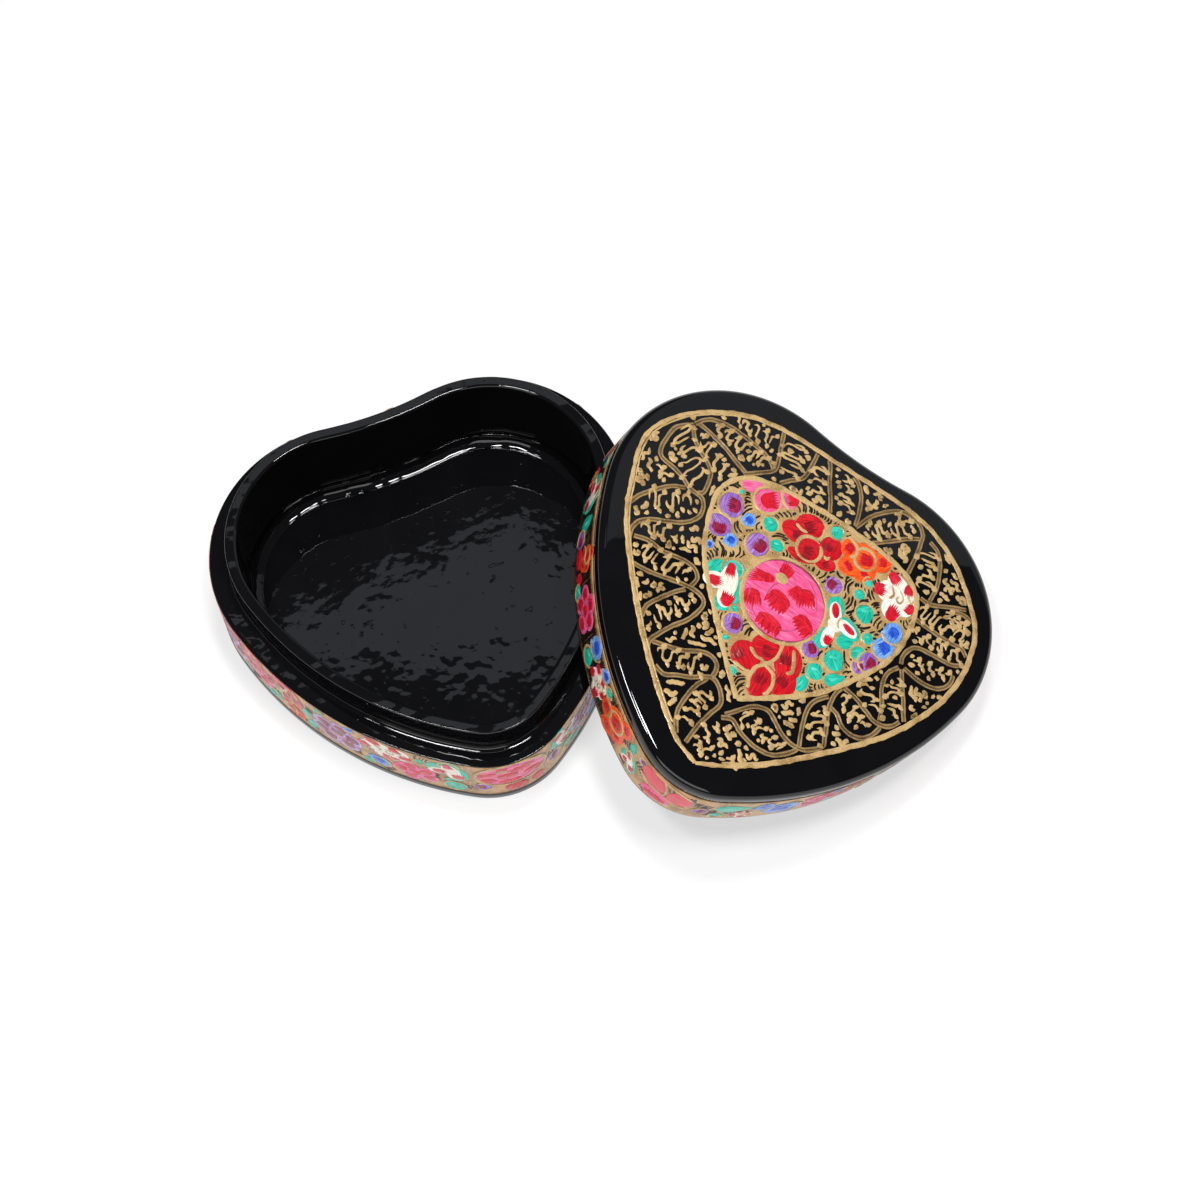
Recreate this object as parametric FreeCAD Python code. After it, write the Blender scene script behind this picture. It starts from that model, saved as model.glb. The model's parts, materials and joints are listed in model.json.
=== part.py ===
import FreeCAD
import Part
import math
import os

# A heart-shaped papier-mache keepsake box in millimetres, +Z up.
# The tray stands on Z = 0 with its centre at the origin and the tip of the heart towards -Y.
# The lid is off: it leans on the tray's collar with its lowest point on the same floor.

# Heart outline, shared by the tray and the lid
heart_width = 100.0
heart_length = 95.4
lobe_radius = 32.7
notch_radius = 88.0
side_radius = 85.4
tip_radius = 20.2

# Tray
board_thickness = 3.4
foot_round = 1.2
shoulder_height = 21.2
shoulder_round = 0.8
wall_thickness = 4.9
collar_thickness = 2.75
collar_rise = 9.2
collar_round = 0.6

# Lid
lid_height = 17.0
lid_board_thickness = 3.6
lid_crown = 1.0
lid_edge_round = 2.0
lid_rim_round = 0.6
lid_clearance = 0.6

# Rounded paste fillets in the inner corners
cove_radius = 2.6
cove_feather = 0.3

# How the lid leans: where its middle lies, how it is turned, and which way it slopes down
lid_place_x_share = 0.60
lid_place_y_share = -0.40
lid_turn = -51.0
lean_heading = -29.0
steepest_lean = 60.0
lean_steps = 16
rest_gap = 0.1

# Allowances for cuts and for finding edges
overrun = 5.0
tolerance = 0.001

up = FreeCAD.Vector(0, 0, 1)
collar_inset = wall_thickness + collar_thickness
collar_top = shoulder_height + collar_rise
skirt_thickness = wall_thickness - lid_clearance
skirt_height = lid_height - lid_board_thickness


def polar(centre, radius, angle):
    return centre + FreeCAD.Vector(math.cos(angle), math.sin(angle), 0) * radius


def bearing(start, end):
    return math.atan2(end.y - start.y, end.x - start.x)


def heart_centres():
    """Centres of the right-hand arcs, which all meet their neighbours smoothly."""
    lobe = FreeCAD.Vector(heart_width / 2 - lobe_radius, heart_length / 2 - lobe_radius, 0)
    tip = FreeCAD.Vector(0, tip_radius - heart_length / 2, 0)
    notch_reach = notch_radius + lobe_radius
    notch = FreeCAD.Vector(0, lobe.y + math.sqrt(notch_reach**2 - lobe.x**2), 0)
    tip_reach = side_radius - tip_radius
    lobe_reach = side_radius - lobe_radius
    span = lobe.distanceToPoint(tip)
    along = (tip_reach**2 - lobe_reach**2 + span**2) / (2 * span)
    away = math.sqrt(tip_reach**2 - along**2)
    towards_lobe = bearing(tip, lobe)
    side = polar(polar(tip, along, towards_lobe), away, towards_lobe + math.pi / 2)
    return notch, lobe, side, tip


def heart_wire(inset, height):
    """The heart drawn inwards by inset: notch, lobes, sides and tip as six arcs."""
    notch, lobe, side, tip = heart_centres()
    notch_end = bearing(notch, lobe)
    lobe_start = notch_end + math.pi
    lobe_end = bearing(side, lobe)
    side_end = bearing(side, tip)
    notch_to_lobe = polar(lobe, lobe_radius - inset, lobe_start)
    lobe_to_side = polar(lobe, lobe_radius - inset, lobe_end)
    side_to_tip = polar(tip, tip_radius - inset, side_end)
    lobe_middle = polar(lobe, lobe_radius - inset, (lobe_start + lobe_end) / 2)
    side_middle = polar(side, side_radius - inset, (lobe_end + side_end) / 2)
    notch_middle = polar(notch, notch_radius + inset, -math.pi / 2)
    tip_middle = polar(tip, tip_radius - inset, -math.pi / 2)

    def mirrored(point):
        return FreeCAD.Vector(-point.x, point.y, point.z)

    arcs = [
        (mirrored(notch_to_lobe), notch_middle, notch_to_lobe),
        (notch_to_lobe, lobe_middle, lobe_to_side),
        (lobe_to_side, side_middle, side_to_tip),
        (side_to_tip, tip_middle, mirrored(side_to_tip)),
        (mirrored(side_to_tip), mirrored(side_middle), mirrored(lobe_to_side)),
        (mirrored(lobe_to_side), mirrored(lobe_middle), mirrored(notch_to_lobe)),
    ]
    wire = Part.Wire([Part.Arc(*points).toShape() for points in arcs])
    wire.translate(up * height)
    return wire


def heart_slab(inset, bottom, top):
    return Part.Face(heart_wire(inset, bottom)).extrude(up * (top - bottom))


def heart_ring(outer_inset, inner_inset, bottom, top):
    hole = heart_slab(inner_inset, bottom - overrun, top + overrun)
    return heart_slab(outer_inset, bottom, top).cut(hole)


def rounded(shape, radius, inset, height):
    """Rounds the edges of shape that lie on the heart wire at this inset and height."""
    wire = heart_wire(inset, height)
    edges = []
    for edge in shape.Edges:
        middle = edge.valueAt((edge.FirstParameter + edge.LastParameter) / 2)
        if Part.Vertex(middle).distToShape(wire)[0] < tolerance:
            edges.append(edge)
    return shape.makeFillet(radius, edges)


def make_base_board():
    return rounded(heart_slab(0, 0, board_thickness), foot_round, 0, 0)


def make_base_wall():
    wall = heart_ring(0, wall_thickness, board_thickness, shoulder_height)
    return rounded(wall, shoulder_round, 0, shoulder_height)


def make_base_collar():
    collar = heart_ring(wall_thickness, collar_inset, board_thickness, collar_top)
    collar = rounded(collar, collar_round, wall_thickness, collar_top)
    return rounded(collar, collar_round, collar_inset, collar_top)


def make_cove(inset, bottom):
    """A concave fillet round the inside of a heart, with a thin lip on the wall and on the board."""
    reach = cove_radius + cove_feather
    block = heart_ring(inset, inset + reach, bottom, bottom + reach)
    hollow_bottom = bottom + cove_feather
    hollow = heart_slab(inset + cove_feather, hollow_bottom, bottom + reach + overrun)
    return block.cut(rounded(hollow, cove_radius, inset + cove_feather, hollow_bottom))


def make_lid_wall():
    wall = heart_ring(0, skirt_thickness, 0, skirt_height)
    return rounded(wall, lid_rim_round, 0, 0)


def make_lid_board():
    """The top board: a slab under a shallow dome that rises by the crown above its sides."""
    crown_reach = heart_width / 2
    dome_radius = (crown_reach**2 + lid_crown**2) / (2 * lid_crown)
    dome_centre = up * (lid_height + lid_crown - dome_radius)
    dome = Part.makeSphere(dome_radius, dome_centre, FreeCAD.Vector(0, 1, 0))
    dome.rotate(dome_centre, FreeCAD.Vector(0, 1, 0), 90)
    board = heart_slab(0, skirt_height, lid_height + lid_crown + overrun).common(dome)
    edges = [edge for edge in board.Edges if edge.BoundBox.ZMin > skirt_height + tolerance]
    return board.makeFillet(lid_edge_round, edges)


def make_lid_cove():
    """The tray's fillet turned over, into the corner under the lid's board."""
    cove = make_cove(skirt_thickness, -skirt_height)
    flipped = cove.copy()
    flipped.rotate(FreeCAD.Vector(0, 0, 0), FreeCAD.Vector(0, 1, 0), 180)
    return flipped


def lean_place(lean, skirt):
    """Where the lid lies at this lean, with its lowest point on the floor."""
    downhill = FreeCAD.Rotation(up, lean_heading)
    tilt_axis = downhill.multVec(FreeCAD.Vector(0, 1, 0))
    turn = FreeCAD.Rotation(tilt_axis, lean) * FreeCAD.Rotation(up, lid_turn)
    middle = FreeCAD.Vector(lid_place_x_share * heart_width, lid_place_y_share * heart_length, 0)
    raised = heart_width + heart_length
    trial = skirt.copy()
    trial.Placement = FreeCAD.Placement(middle + up * raised, turn)
    floor = Part.Face(Part.makePolygon([
        middle + FreeCAD.Vector(x_side * raised, y_side * raised, 0)
        for x_side, y_side in ((-1, -1), (1, -1), (1, 1), (-1, 1), (-1, -1))
    ]))
    drop = trial.distToShape(floor)[0]
    return FreeCAD.Placement(middle + up * (raised - drop), turn)


def rest_place(skirt, tray):
    """The gentlest lean at which the skirt clears the tray by the rest gap."""
    low = 0.0
    high = steepest_lean
    for _ in range(lean_steps):
        lean = (low + high) / 2
        trial = skirt.copy()
        trial.Placement = lean_place(lean, skirt)
        if trial.distToShape(tray)[0] < rest_gap:
            low = lean
        else:
            high = lean
    return lean_place(high, skirt)


base = {
    "base_board": make_base_board(),
    "base_wall": make_base_wall(),
    "base_collar": make_base_collar(),
    "base_cove": make_cove(collar_inset, board_thickness),
}
lid = {
    "lid_board": make_lid_board(),
    "lid_wall": make_lid_wall(),
    "lid_cove": make_lid_cove(),
}
place = rest_place(lid["lid_wall"], Part.Compound([base["base_wall"], base["base_collar"]]))
for shape in lid.values():
    shape.Placement = place.multiply(shape.Placement)

os.makedirs("parts", exist_ok=True)
for name, shape in {**base, **lid}.items():
    shape.exportStep(f"parts/{name}.step")
    print(name, "valid", shape.isValid(), "solids", len(shape.Solids), "volume", round(shape.Volume, 1))

lid_axis = place.Rotation.multVec(up)
print("lid axis", [round(value, 6) for value in lid_axis])
print("lid middle", [round(value, 4) for value in place.Base])
print("lid lean", round(math.degrees(lid_axis.getAngle(up)), 3))
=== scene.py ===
import json
import math
import random

import bpy
import numpy as np
from mathutils import Matrix, Vector, noise


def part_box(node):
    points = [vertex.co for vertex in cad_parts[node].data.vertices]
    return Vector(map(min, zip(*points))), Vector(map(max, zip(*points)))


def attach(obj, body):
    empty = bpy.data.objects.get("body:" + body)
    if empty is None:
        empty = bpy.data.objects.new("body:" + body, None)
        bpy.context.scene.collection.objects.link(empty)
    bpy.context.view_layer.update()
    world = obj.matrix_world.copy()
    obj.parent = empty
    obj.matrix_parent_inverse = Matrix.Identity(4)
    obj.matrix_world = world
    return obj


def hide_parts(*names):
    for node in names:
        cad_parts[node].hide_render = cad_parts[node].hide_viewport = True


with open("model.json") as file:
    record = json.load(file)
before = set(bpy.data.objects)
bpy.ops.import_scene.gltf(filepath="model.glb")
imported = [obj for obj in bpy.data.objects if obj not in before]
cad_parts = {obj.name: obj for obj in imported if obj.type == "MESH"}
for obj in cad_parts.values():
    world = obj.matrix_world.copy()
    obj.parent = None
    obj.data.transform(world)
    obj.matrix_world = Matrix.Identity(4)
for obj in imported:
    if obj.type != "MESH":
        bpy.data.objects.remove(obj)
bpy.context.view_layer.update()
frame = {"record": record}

MM = 0.001

# Heart outline in metres, as in the solids
HEART_WIDTH = 100.0 * MM
HEART_LENGTH = 95.4 * MM
LOBE_RADIUS = 32.7 * MM
NOTCH_RADIUS = 88.0 * MM
SIDE_RADIUS = 85.4 * MM
TIP_RADIUS = 20.2 * MM

# Walls, lid and cove in metres, as in the solids
WALL_THICKNESS = 4.9 * MM
COLLAR_THICKNESS = 2.75 * MM
LID_CLEARANCE = 0.6 * MM
COVE_RADIUS = 2.6 * MM
COVE_FEATHER = 0.3 * MM
LID_HEIGHT = 17.0 * MM
LID_BOARD = 3.6 * MM
LID_CROWN = 1.0 * MM
LID_EDGE_ROUND = 2.0 * MM
LID_TURN = math.radians(-51.0)

# Lacquered edges in metres, sharper than the solids' own
FOOT_ROUND = 0.35 * MM
FOOT_HEIGHT = 2.5 * MM
FOOT_INSET = 0.02 * MM
SHOULDER_ROUND = 0.3 * MM
COLLAR_ROUND = 0.3 * MM
COLLAR_INNER_ROUND = 0.75 * MM
LID_RIM_ROUND = 0.4 * MM
FILLET = 1.3 * MM

# The collar's rim falls a little inwards; points beside its rounded edges keep its flat shaded as a flat
COLLAR_FALL = 0.07 * MM
EDGE_GUARD = 0.06 * MM
GUARD_DROP = EDGE_GUARD / 24

# The lid's shell starts this far above its solid's rim
RIM_LIFT = 0.03 * MM

# The shells lie this far inside the solids, which leaves room for the paint
PAINT_DEPTH = 0.15 * MM

# How far the tray's hand-made pieces sink as they dry, and the size of their lumps
COVE_SINK, COVE_LUMP = 0.16 * MM, 5.0 * MM
COLLAR_SINK, COLLAR_LUMP = 0.03 * MM, 6.0 * MM
SHOULDER_SINK, SHOULDER_LUMP = 0.03 * MM, 4.0 * MM

# The finer lumps on these, by height and by number, and the height above which all are level
FINE_SHARE, FINE_SCALE, LUMP_TOP = 0.5, 2.3, 0.8

# Heights of the lacquer's ripples, and where the tray's grow calmer from front to back
TRAY_RIPPLE = 0.095 * MM
LID_RIPPLE = 0.016 * MM
CALM_START, CALM_END = -6 * MM, 16 * MM

# How finely the shells are divided
STATION_STEP = 0.8 * MM
PROFILE_STEP = 0.8 * MM
CORNER_POINTS = 7
BOARD_LEVELS = 44
HOLLOW_ANGLES = [math.radians(angle) for angle in range(0, 91, 9)]

# Heights of the tray, from the frame, and lengths that follow
BOARD_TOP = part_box("base_board")[1][2]
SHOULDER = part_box("base_wall")[1][2]
COLLAR_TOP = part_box("base_collar")[1][2]
COLLAR_INSET = WALL_THICKNESS + COLLAR_THICKNESS
SKIRT_THICKNESS = WALL_THICKNESS - LID_CLEARANCE
SKIRT_HEIGHT = LID_HEIGHT - LID_BOARD


# Heart outline

def bearing(start, end):
    return math.atan2(end[1] - start[1], end[0] - start[0])


def ray(angle):
    """The unit vector at an angle in radians."""
    return np.array([math.cos(angle), math.sin(angle)])


def heart_arcs():
    """Arcs round the heart, anticlockwise from the tip: centre, radius, start, end, outward sign."""
    lobe = np.array([HEART_WIDTH / 2 - LOBE_RADIUS, HEART_LENGTH / 2 - LOBE_RADIUS])
    tip = np.array([0.0, TIP_RADIUS - HEART_LENGTH / 2])
    notch_reach = NOTCH_RADIUS + LOBE_RADIUS
    notch = np.array([0.0, lobe[1] + math.sqrt(notch_reach**2 - lobe[0]**2)])
    tip_reach = SIDE_RADIUS - TIP_RADIUS
    lobe_reach = SIDE_RADIUS - LOBE_RADIUS
    span = np.linalg.norm(lobe - tip)
    along = (tip_reach**2 - lobe_reach**2 + span**2) / (2 * span)
    away = math.sqrt(tip_reach**2 - along**2)
    ahead = (lobe - tip) / span
    side = tip + ahead * along + np.array([-ahead[1], ahead[0]]) * away
    side_end = bearing(side, tip)
    lobe_end = bearing(side, lobe)
    lobe_start = bearing(notch, lobe) + math.pi
    flip = np.array([-1.0, 1.0])
    right = [
        (tip, TIP_RADIUS, -math.pi / 2, side_end, 1),
        (side, SIDE_RADIUS, side_end, lobe_end, 1),
        (lobe, LOBE_RADIUS, lobe_end, lobe_start, 1),
    ]
    left = [(c * flip, r, math.pi - end, math.pi - start, 1) for c, r, start, end, _ in reversed(right)]
    notch_right = bearing(notch, lobe)
    return right + [(notch, NOTCH_RADIUS, notch_right, -math.pi - notch_right, -1)] + left


def heart_stations(step):
    """Points round the heart, about one step apart, their outward normals, and the heart's girth."""
    points, normals = [], []
    for centre, radius, start, end, sign in heart_arcs():
        count = max(2, round(radius * abs(end - start) / step))
        for angle in np.linspace(start, end, count, endpoint=False):
            spoke = ray(angle)
            points.append(centre + radius * spoke)
            normals.append(sign * spoke)
    points = np.array(points)
    hops = np.linalg.norm(np.roll(points, -1, axis=0) - points, axis=1)
    return points, np.array(normals), np.cumsum(hops)[-1]


POINTS, NORMALS, GIRTH = heart_stations(STATION_STEP)


def lid_place():
    """The leaning lid: its turn from the joint's axis, its place from the skirt's sharp upper edge."""
    lift_axis = Vector(frame["record"]["behaviour"]["joints"][0]["axis"]).normalized()
    lean = Vector((0, 0, 1)).rotation_difference(lift_axis).to_matrix()
    turn = lean @ Matrix.Rotation(LID_TURN, 3, "Z")
    upper_edge = np.column_stack([POINTS, np.full(len(POINTS), SKIRT_HEIGHT)]) @ np.array(turn).T
    low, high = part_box("lid_wall")
    shift = Vector((
        high[0] - upper_edge[:, 0].max(),
        low[1] - upper_edge[:, 1].min(),
        high[2] - upper_edge[:, 2].max(),
    ))
    return Matrix.Translation(shift) @ turn.to_4x4()


LID_PLACE = lid_place()


def lid_top_height(x, y):
    """Height of the lid's gently crowned top above its rim."""
    return LID_HEIGHT - PAINT_DEPTH + LID_CROWN * (1 - (x * x + y * y) / (HEART_WIDTH / 2)**2)


# Node trees and finishes

class Value:
    """A socket of a node tree. Arithmetic on it adds Math nodes."""

    def __init__(self, nodes, socket):
        self.nodes = nodes
        self.socket = socket

    def math(self, operation, *others):
        return self.nodes.add("ShaderNodeMath", dict(enumerate((self, *others))), operation=operation)

    def most(self, other):
        return self.math("MAXIMUM", other)

    def __add__(self, other):
        return self.math("ADD", other)

    def __sub__(self, other):
        return self.math("SUBTRACT", other)

    def __rsub__(self, other):
        return self.nodes.add("ShaderNodeMath", {0: other, 1: self}, operation="SUBTRACT")

    def __mul__(self, other):
        return self.math("MULTIPLY", other)

    def __truediv__(self, other):
        return self.math("DIVIDE", other)


class Nodes:
    """A node tree that is written as expressions."""

    def __init__(self, tree):
        self.tree = tree

    def socket(self, node, key):
        if isinstance(key, int):
            return node.inputs[key]
        named = [s for s in node.inputs if s.identifier == key]
        named = named or [s for s in node.inputs if s.name == key]
        return next((s for s in named if s.enabled), named[0])

    def feed(self, socket, value):
        """Links or sets one input."""
        if isinstance(value, Value):
            self.tree.links.new(value.socket, socket)
        else:
            socket.default_value = value

    def add(self, kind, inputs=None, output=0, **settings):
        """A node of this kind with its settings and inputs; gives one output, by place or identifier."""
        node = self.tree.nodes.new(kind)
        for key, value in settings.items():
            setattr(node, key, value)
        for key, value in (inputs or {}).items():
            self.feed(self.socket(node, key), value)
        if isinstance(output, str):
            return Value(self, next(s for s in node.outputs if s.identifier == output))
        return Value(self, node.outputs[output])

    def noise(self, vector, scale, detail, roughness=0.5):
        inputs = {"Vector": vector, "Scale": scale, "Detail": detail, "Roughness": roughness}
        return self.add("ShaderNodeTexNoise", inputs)

    def mix(self, factor, first, second):
        inputs = {"Factor_Float": factor, "A_Color": first, "B_Color": second}
        return self.add("ShaderNodeMix", inputs, output="Result_Color", data_type="RGBA")

    def step(self, value, low, high, start=0.0, end=1.0):
        """Smoothly from start to end while the value goes from low to high."""
        inputs = {"Value": value, "From Min": low, "From Max": high, "To Min": start, "To Max": end}
        return self.add("ShaderNodeMapRange", inputs, interpolation_type="SMOOTHSTEP")

    def vector(self, operation, first, second, output=0):
        return self.add("ShaderNodeVectorMath", {0: first, 1: second}, output, operation=operation)


def srgb(red, green, blue):
    """A colour of 0 to 255 as seen on a screen, made linear."""
    def linear(level):
        level = level / 255
        return level / 12.92 if level <= 0.04045 else ((level + 0.055) / 1.055)**2.4
    return (linear(red), linear(green), linear(blue), 1.0)


class Finish(Nodes):
    """A material with one Principled shader."""

    def __init__(self, name):
        self.material = bpy.data.materials.new(name)
        self.material.use_nodes = True
        super().__init__(self.material.node_tree)
        self.shader = self.tree.nodes["Principled BSDF"]

    def coords(self):
        return self.add("ShaderNodeTexCoord", output="Object")

    def attribute(self, name):
        """A value that the strokes' mesh carries."""
        return self.add("ShaderNodeAttribute", output="Fac", attribute_name=name)

    def bump(self, height, distance):
        return self.add("ShaderNodeBump", {"Height": height, "Distance": distance, "Strength": 1.0})

    def set(self, **values):
        for key, value in values.items():
            self.feed(self.shader.inputs[key.replace("_", " ")], value)
        return self.material


def black_lacquer(name, ripple, calm=1.0):
    """Brushed-on black lacquer: deep gloss over ripples, calmer at the back, orange peel and dust."""
    finish = Finish(name)
    place = finish.coords()
    back = finish.add("ShaderNodeSeparateXYZ", {"Vector": place}, output="Y")
    slow = finish.noise(place, 130.0, 2.0) * finish.step(back, CALM_START, CALM_END, 1.0, calm)
    peel = finish.noise(place, 760.0, 1.0)
    dust = finish.step(finish.noise(place, 520.0, 1.0), 0.70, 0.76)
    haze = finish.noise(place, 120.0, 4.0)
    return finish.set(
        Base_Color=finish.mix(haze, srgb(6, 6, 7), srgb(14, 14, 16)),
        Roughness=haze * 0.012 + 0.012,
        Normal=finish.bump(slow + peel * 0.03 + dust * 0.10, ripple),
    )


# Lacquered shells

def new_object(name, data):
    obj = bpy.data.objects.new(name, data)
    bpy.context.scene.collection.objects.link(obj)
    return obj


def new_piece(name, verts, faces, material):
    mesh = bpy.data.meshes.new(name)
    mesh.from_pydata([tuple(v) for v in verts], [], faces)
    mesh.materials.append(material)
    mesh.shade_smooth()
    mesh.update()
    return new_object(name, mesh)


def round_corner(inset, height, radius, start, sweep):
    """Profile points on a rounded corner about a centre, angles in degrees from outwards to up."""
    angles = [math.radians(start + sweep * k / (CORNER_POINTS - 1)) for k in range(CORNER_POINTS)]
    return [(inset - radius * math.cos(a), height + radius * math.sin(a)) for a in angles]


def finely(profile, closed=True):
    """The profile with its long runs divided."""
    ends = profile[1:] + profile[:1] if closed else profile[1:]
    points = []
    for start, end in zip(profile, ends):
        count = max(1, round(math.dist(start, end) / PROFILE_STEP))
        points += [tuple(np.array(start) + (np.array(end) - start) * k / count) for k in range(count)]
    return points if closed else points + [profile[-1]]


def ring_faces(rows, columns, closed=True):
    """Quads between neighbouring rows that each go all round the heart."""
    faces = []
    for row in range(rows if closed else rows - 1):
        this, following = row * columns, (row + 1) % rows * columns
        for column in range(columns):
            right = (column + 1) % columns
            faces.append((this + column, this + right, following + right, following + column))
    return faces


def sweep(profile):
    """Rows of points: each profile point, inset and height, taken round the heart."""
    rows = [np.column_stack([POINTS - NORMALS * inset, np.full(len(POINTS), height)])
            for inset, height in profile]
    return np.concatenate(rows)


def hand_made(piece, amount, grain, share=None):
    """Sinks each point of a piece a little, more in some places, as pasted paper and lacquer dry."""
    mesh = piece.data
    normals = [v.normal.copy() for v in mesh.vertices]
    for vertex, normal in zip(mesh.vertices, normals):
        spot = vertex.co / grain
        lump = noise.noise(spot) + FINE_SHARE * noise.noise(spot * FINE_SCALE)
        sink = min(lump, LUMP_TOP) - LUMP_TOP
        vertex.co += normal * (amount * sink * (share(vertex.co) if share else 1.0))
    mesh.update()


def make_ring(name, profile, material):
    """A closed ring of this profile, its points given clockwise as seen looking along the outline."""
    profile = finely(profile)
    return new_piece(name, sweep(profile), ring_faces(len(profile), len(POINTS)), material)


def make_board(name, rim, material, top=None):
    """A heart board: rows round its rim from the underside to the top, then rings to the middle."""
    rim = finely(rim, closed=False)
    columns = len(POINTS)
    rows = [sweep([point]) for point in rim]
    shrink = [1 - k / BOARD_LEVELS for k in range(1, BOARD_LEVELS)]
    under = [rows[0] * [s, s, 1] for s in reversed(shrink)]
    rows = under + rows + [rows[-1] * [s, s, 1] for s in shrink]
    verts = np.concatenate(rows)
    if top:
        crowned = verts[:, 2] > SKIRT_HEIGHT + PROFILE_STEP
        verts[crowned, 2] += top(verts[crowned, 0], verts[crowned, 1]) - LID_HEIGHT
    faces = ring_faces(len(rows), columns, closed=False)
    bottom, crown = len(verts), len(verts) + 1
    last = (len(rows) - 1) * columns
    summit = top(0, 0) if top else rows[-1][0][2]
    verts = np.concatenate([verts, [[0, 0, rows[0][0][2]], [0, 0, summit]]])
    for column in range(columns):
        right = (column + 1) % columns
        faces.append((column, bottom, right))
        faces.append((last + column, last + right, crown))
    return new_piece(name, verts, faces, material)


tray_lacquer = black_lacquer("tray_black_lacquer", TRAY_RIPPLE, calm=0.4)
lid_lacquer = black_lacquer("lid_black_lacquer", LID_RIPPLE)


def make_base_board():
    rim = [(COLLAR_INSET, 0.0)]
    rim += round_corner(FOOT_INSET + FOOT_ROUND, FOOT_ROUND, FOOT_ROUND, -90, 90)
    rim += [(FOOT_INSET, FOOT_HEIGHT), (PAINT_DEPTH, FOOT_HEIGHT + PAINT_DEPTH)]
    rim += [(PAINT_DEPTH, BOARD_TOP), (COLLAR_INSET, BOARD_TOP)]
    return make_board("base_board_shell", rim, tray_lacquer)


def make_base_wall():
    profile = [(WALL_THICKNESS, BOARD_TOP), (PAINT_DEPTH, BOARD_TOP)]
    rounded_height = SHOULDER - SHOULDER_ROUND
    profile += round_corner(PAINT_DEPTH + SHOULDER_ROUND, rounded_height, SHOULDER_ROUND, 0, 90)
    profile += [(WALL_THICKNESS, SHOULDER)]
    return make_ring("base_wall_shell", profile, tray_lacquer)


def make_base_collar():
    rounded_height = COLLAR_TOP - COLLAR_ROUND
    profile = [(COLLAR_INSET, BOARD_TOP), (WALL_THICKNESS, BOARD_TOP)]
    profile += [(WALL_THICKNESS - FILLET, SHOULDER - FILLET / 2)]
    profile += [(WALL_THICKNESS - FILLET * (1 - math.sin(a)), SHOULDER + FILLET * (1 - math.cos(a)))
                for a in HOLLOW_ANGLES]
    profile += round_corner(WALL_THICKNESS + COLLAR_ROUND, rounded_height, COLLAR_ROUND, 0, 90)
    inner_edge = COLLAR_INSET - COLLAR_INNER_ROUND
    profile += [(WALL_THICKNESS + COLLAR_ROUND + EDGE_GUARD, COLLAR_TOP - GUARD_DROP)]
    profile += [(inner_edge - EDGE_GUARD, COLLAR_TOP - COLLAR_FALL + GUARD_DROP)]
    inner_height = COLLAR_TOP - COLLAR_INNER_ROUND - COLLAR_FALL
    profile += round_corner(inner_edge, inner_height, COLLAR_INNER_ROUND, 90, 90)
    return make_ring("base_collar_shell", profile, tray_lacquer)


def cove_profile(inset, bottom, side):
    """A concave fillet between a wall and a board; side is 1 above the board and -1 under it."""
    reach = COVE_RADIUS + COVE_FEATHER
    hollow = []
    for angle in HOLLOW_ANGLES:
        height = bottom + side * (reach - COVE_RADIUS * math.sin(angle))
        hollow.append((inset + reach - COVE_RADIUS * math.cos(angle), height))
    profile = [(inset, bottom), (inset, bottom + side * reach)] + hollow + [(inset + reach, bottom)]
    return profile if side > 0 else profile[::-1]


def make_lid_board():
    side_top = LID_HEIGHT - LID_EDGE_ROUND
    rim = [(SKIRT_THICKNESS, SKIRT_HEIGHT), (PAINT_DEPTH, SKIRT_HEIGHT)]
    rim += round_corner(PAINT_DEPTH + LID_EDGE_ROUND, side_top, LID_EDGE_ROUND, 0, 90)
    rim += [(COLLAR_INSET, LID_HEIGHT)]
    return make_board("lid_board_shell", rim, lid_lacquer, top=lid_top_height)


def make_lid_wall():
    profile = [(SKIRT_THICKNESS, RIM_LIFT)]
    profile += round_corner(PAINT_DEPTH + LID_RIM_ROUND, LID_RIM_ROUND + RIM_LIFT, LID_RIM_ROUND, -90, 90)
    profile += [(PAINT_DEPTH, SKIRT_HEIGHT), (SKIRT_THICKNESS, SKIRT_HEIGHT)]
    return make_ring("lid_wall_shell", profile, lid_lacquer)


def dress(piece, body, slot, replaced=None):
    """Declares whose body the piece rides on and the solid that it stands for; the slot is not used."""
    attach(piece, body)
    if replaced:
        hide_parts(replaced)


tray_shells = {
    "base_board": make_base_board(),
    "base_wall": make_base_wall(),
    "base_collar": make_base_collar(),
    "base_cove": make_ring("base_cove_shell", cove_profile(COLLAR_INSET, BOARD_TOP, 1), tray_lacquer),
}
lid_shells = {
    "lid_board": make_lid_board(),
    "lid_wall": make_lid_wall(),
    "lid_cove": make_ring("lid_cove_shell", cove_profile(SKIRT_THICKNESS, SKIRT_HEIGHT, -1), lid_lacquer),
}
hand_made(tray_shells["base_cove"], COVE_SINK, COVE_LUMP)
hand_made(tray_shells["base_collar"], COLLAR_SINK, COLLAR_LUMP, lambda spot: spot.z > BOARD_TOP)
hand_made(tray_shells["base_wall"], SHOULDER_SINK, SHOULDER_LUMP,
          lambda spot: spot.z > SHOULDER - SHOULDER_ROUND / 2)
for node, piece in tray_shells.items():
    dress(piece, "base", "tray_paint" if node == "base_wall" else "tray_lacquer", node)
for node, piece in lid_shells.items():
    piece.data.transform(LID_PLACE)
    dress(piece, "lid", "lid_paint" if node == "lid_wall" else "lid_lacquer", node)


# Brushwork: strokes are planned flat, in millimetres, and then laid on the lid's top or a wall

# Lifts of the layers of paint, from the lowest to the highest, and of some between them
HATCH, LEAF, PETAL, TOUCH, OUTLINE = 0.02, 0.034, 0.05, 0.072, 0.09
SHADE = TOUCH - 0.012
FEATHER = TOUCH + 0.004
LOOP_BED, LOOP_LINE = OUTLINE - 0.05, OUTLINE - 0.02

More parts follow.
